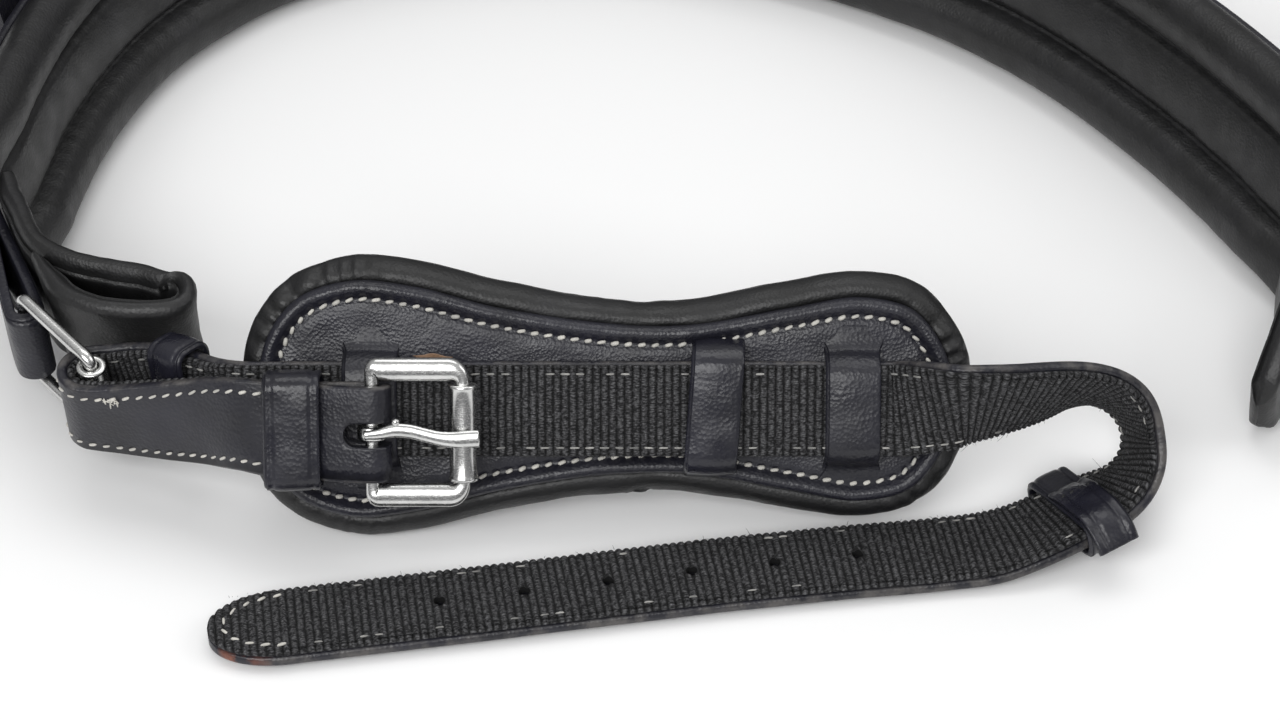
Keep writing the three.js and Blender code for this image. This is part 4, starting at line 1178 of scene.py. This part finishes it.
def build_band():
    section = profile_line(BAND_SECTION, 96)
    back = np.array([(40.4, 0.15), (30, 0.15), (20, 0.15), (10, 0.15), (2.6, 0.15)])
    outline = band.repeated(np.vstack([section, back]))
    taper = band_taper(band.travelled)
    lined = np.arange(outline.shape[1]) < len(section)
    outline[..., 1] = np.where(lined, outline[..., 1] * taper[:, None] + 0.3, outline[..., 1])
    for seam in BAND_SEAMS:
        groove = hump(outline[..., 0], seam, 1.0) * (outline[..., 1] > 1.5)
        outline[..., 1] -= 1.2 * groove * taper[:, None]
    run = np.broadcast_to(band.travelled[:, None], outline.shape[:2])
    up, deep = outline[..., 0], outline[..., 1]
    skewed = np.stack([run + 0.5 * up, up * 0.22, deep * 0.2], -1)
    cross_folds = hills(skewed, 5.2, 1.3)
    puckers = np.cos(2 * math.pi * run / 4.4) * sum(hump(up, seam, 2.4) for seam in BAND_SEAMS)
    broad = hills(np.stack([run, up, deep], -1), 24, 8.0)
    deep_enough = np.clip((deep - 2) / 3, 0, 1) * lined
    folds = 0.3 * cross_folds * np.clip(broad + 0.5, 0.1, 1)
    outline[..., 1] += deep_enough * (folds + 0.09 * puckers + 0.35 * broad)
    piece = swept("band_lining_soft", band, outline)
    finish_piece(piece, NAPPA, "band", ["band_lining", "band_padding"])

    section = rounded_box(2.5, BAND_WIDTH - 2.5, -2.2, 0.1, 0.6, 8)
    piece = swept("band_face_leather", band, section)
    finish_piece(piece, BRIDLE, "band", ["band_face"])
    for name, across in (("lower", 5.6), ("upper", BAND_WIDTH - 5.6)):
        row = row_on(f"band_face_stitches_{name}", band, 4, band.length - 4, across, -2.28)
        finish_piece(row, CREAM, "band")
    for name, seam in zip(("lower", "upper"), BAND_SEAMS):
        part = band.part(5, band.length - 5)
        depth = 4.05 * band_taper(part.travelled) + 0.28
        centres = part.at + seam * part.up + depth[:, None] * part.face
        row = stitches(f"band_seam_{name}", centres, part.face, pitch=2.9, thick=0.5, share=0.55)
        finish_piece(row, BLACK_THREAD, "band")


# ---- Fittings of the band's ends ----
def soft_slab(height, thick):
    """The section of a padded flap."""
    return rounded_box(-height / 2, height / 2, -thick / 2, thick / 2, min(thick * 0.46, 2.4), 12, 4)


def build_left_flap():
    up = edge(90 + FLAP_LEAN)
    line = [(-127, 16.5), (-124.6, 10.8), (-118.2, -1), (-111.5, -5.6), (-103, -8), (-95, -10.6), (-89.2, -15)]
    line += [(-90, -18.8), (-96, -19.8), (-104, -18.8), (-109.8, -15.8), (-113.6, -11.6), (-116.4, -7.6)]
    route = route_through([(np.array([x, y, 19.2]), up) for x, y in line], 0.7)
    outline = route.repeated(soft_slab(FLAP_HEIGHT, FLAP_THICK - 0.8))
    outline[..., 1] *= (0.45 + 0.55 * np.clip((route.length - route.travelled) / 9, 0, 1))[:, None]
    points = route.spread(outline)
    outline[..., 1] += 0.35 * hills(points, 9, 3.0) + 0.12 * hills(points, 3, 6.0)
    piece = swept("left_flap_soft", route, outline)
    finish_piece(piece, NAPPA, "band", ["left_flap"])


def build_right_flap():
    """A tongue that narrows and sinks; each point of its line has a place and a share of its height."""
    line = [(135.2, 13.5, 19.4, 0.95), (133.9, 7, 18.6, 0.92), (131.6, -6, 16.8, 0.86)]
    line += [(127.6, -15.6, 12.8, 0.66), (123.6, -23.4, 9.4, 0.42), (122, -26, 8.8, 0.18)]
    route = route_through([(np.array([x, y, z]), np.array([0, 0, 1.0])) for x, y, z, _ in line], 0.7)
    share = np.interp(route.span, range(len(line)), [s for *_, s in line])
    outline = route.repeated(soft_slab(FLAP_HEIGHT, FLAP_THICK))
    outline[..., 0] *= share[:, None]
    thin = np.sqrt(np.clip((route.length - route.travelled) / 3.0, 0.02, 1))
    outline[..., 1] *= thin[:, None]
    outline[..., 1] += 0.3 * hills(route.spread(outline), 9, 3.0) * thin[:, None]
    piece = swept("right_flap_soft", route, outline)
    finish_piece(piece, NAPPA, "band", ["right_flap"])


def build_chape(side, leg, lean, outer, inner):
    """The leather folded round a loop's leg, from its outer end in the band to its inner end."""
    turn = LOOP_WIRE / 2 + 0.3 + 1.2
    middle = (np.array(outer) + np.array(inner)) / 2
    back = math.atan2(middle[1] - leg[1], middle[0] - leg[0])
    way = 1 if side == "left" else -1
    pairs = [(np.array([*outer, LOOP_HEIGHT], float), np.array([0, 0, 1.0]))]
    for angle in range(90, 271, 30):
        direction = back + way * math.radians(angle)
        at = np.array([leg[0] + turn * math.cos(direction), leg[1] + turn * math.sin(direction), LOOP_HEIGHT])
        pairs.append((at, edge(90 + lean)))
    pairs.append((np.array([*inner, LOOP_HEIGHT], float), np.array([0, 0, 1.0])))
    route = route_through(pairs, 0.6)
    section = rounded_box(-CHAPE_WIDTH / 2, CHAPE_WIDTH / 2, -1.1, 1.1, 0.4, 8)
    piece = swept(f"{side}_chape_fold", route, section)
    finish_piece(piece, BRIDLE, "band", [f"{side}_chape"])


def dress_hangers():
    """The tabs keep their CAD shape, with soft corners, and take the smooth bridle leather."""
    for side in ("left", "right"):
        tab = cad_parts[f"{side}_hanger"]
        tab.data.materials.clear()
        tab.data.materials.append(BRIDLE)
        soft = tab.modifiers.new("soft_edges", "BEVEL")
        soft.width = 0.5 * MM
        soft.segments = 3
        soft.limit_method = "ANGLE"
        soft.angle_limit = math.radians(50)


# ---- Stage ----
def build_stage():
    mesh = bpy.data.meshes.new("table")
    half = 3.0
    corners = [(-half, -half, 0), (half, -half, 0), (half, half, 0), (-half, half, 0)]
    mesh.from_pydata(corners, [], [(0, 1, 2, 3)])
    table = linked("table", mesh)
    n = Nodes("table_white")
    table.data.materials.append(n.shade(Base_Color=(0.92, 0.92, 0.92, 1), Roughness=0.7))
    world = bpy.data.worlds.new("studio")
    bpy.context.scene.world = world
    world.use_nodes = True
    tree = world.node_tree
    direction = tree.nodes.new("ShaderNodeTexCoord").outputs["Generated"]
    height = tree.nodes.new("ShaderNodeSeparateXYZ")
    tree.links.new(direction, height.inputs[0])
    ramp = tree.nodes.new("ShaderNodeValToRGB")
    below, above = ramp.color_ramp.elements
    below.position, below.color = 0.0, (0.16, 0.16, 0.17, 1)
    above.position, above.color = 0.85, (0.8, 0.8, 0.8, 1)
    tree.links.new(height.outputs[2], ramp.inputs[0])
    tree.links.new(ramp.outputs[0], tree.nodes["Background"].inputs["Color"])
    tree.nodes["Background"].inputs["Strength"].default_value = 0.72


def add_light(name, at, size, power, shape=(1.0, 1.0)):
    """A soft area light aimed at the middle of the part."""
    light = bpy.data.lights.new(name, "AREA")
    light.shape = "RECTANGLE"
    light.size, light.size_y = size * shape[0], size * shape[1]
    light.energy = power
    lamp = linked(name, light)
    lamp.location = at
    lamp.rotation_euler = (Vector(LAYOUT) - Vector(at)).to_track_quat("-Z", "Y").to_euler()


def build_lights():
    add_light("front_softbox", (-0.35, -1.05, 0.95), 0.9, 13, (1.3, 0.7))
    add_light("top_softbox", (0.1, 0.35, 1.3), 0.9, 4.5, (1.3, 0.7))
    add_light("right_softbox", (1.1, -0.1, 0.8), 0.6, 2.5)
    bpy.context.scene.view_settings.view_transform = "Standard"


def build_camera():
    tilt = math.radians(CAMERA["tilt"])
    camera = bpy.data.cameras.new("camera")
    camera.lens = CAMERA["lens"]
    camera.sensor_width = CAMERA["sensor"]
    holder = linked("camera", camera)
    back = Vector((0, -math.cos(tilt), math.sin(tilt)))
    holder.location = Vector(LAYOUT) + CAMERA["distance"] * back
    holder.rotation_euler = (-back).to_track_quat("-Z", "Y").to_euler()
    camera.clip_start = 0.01
    bpy.context.scene.camera = holder


build_camera()
build_stage()
build_lights()
build_band()
build_left_flap()
build_right_flap()
build_chape("left", LEFT_LEG, LEFT_LEAN, *LEFT_CHAPE)
build_chape("right", RIGHT_LEG, 0, *RIGHT_CHAPE)
dress_hangers()
build_loop("left", LEFT_LEG, LEFT_ROLLER, LEFT_LEAN)
build_loop("right", RIGHT_LEG, RIGHT_ROLLER, 0)
build_strap()
build_strap_stitching()
build_keepers()
build_fuzz()
build_worn_places()
build_pad_cover()
build_plate()
build_bridges()
build_buckle()
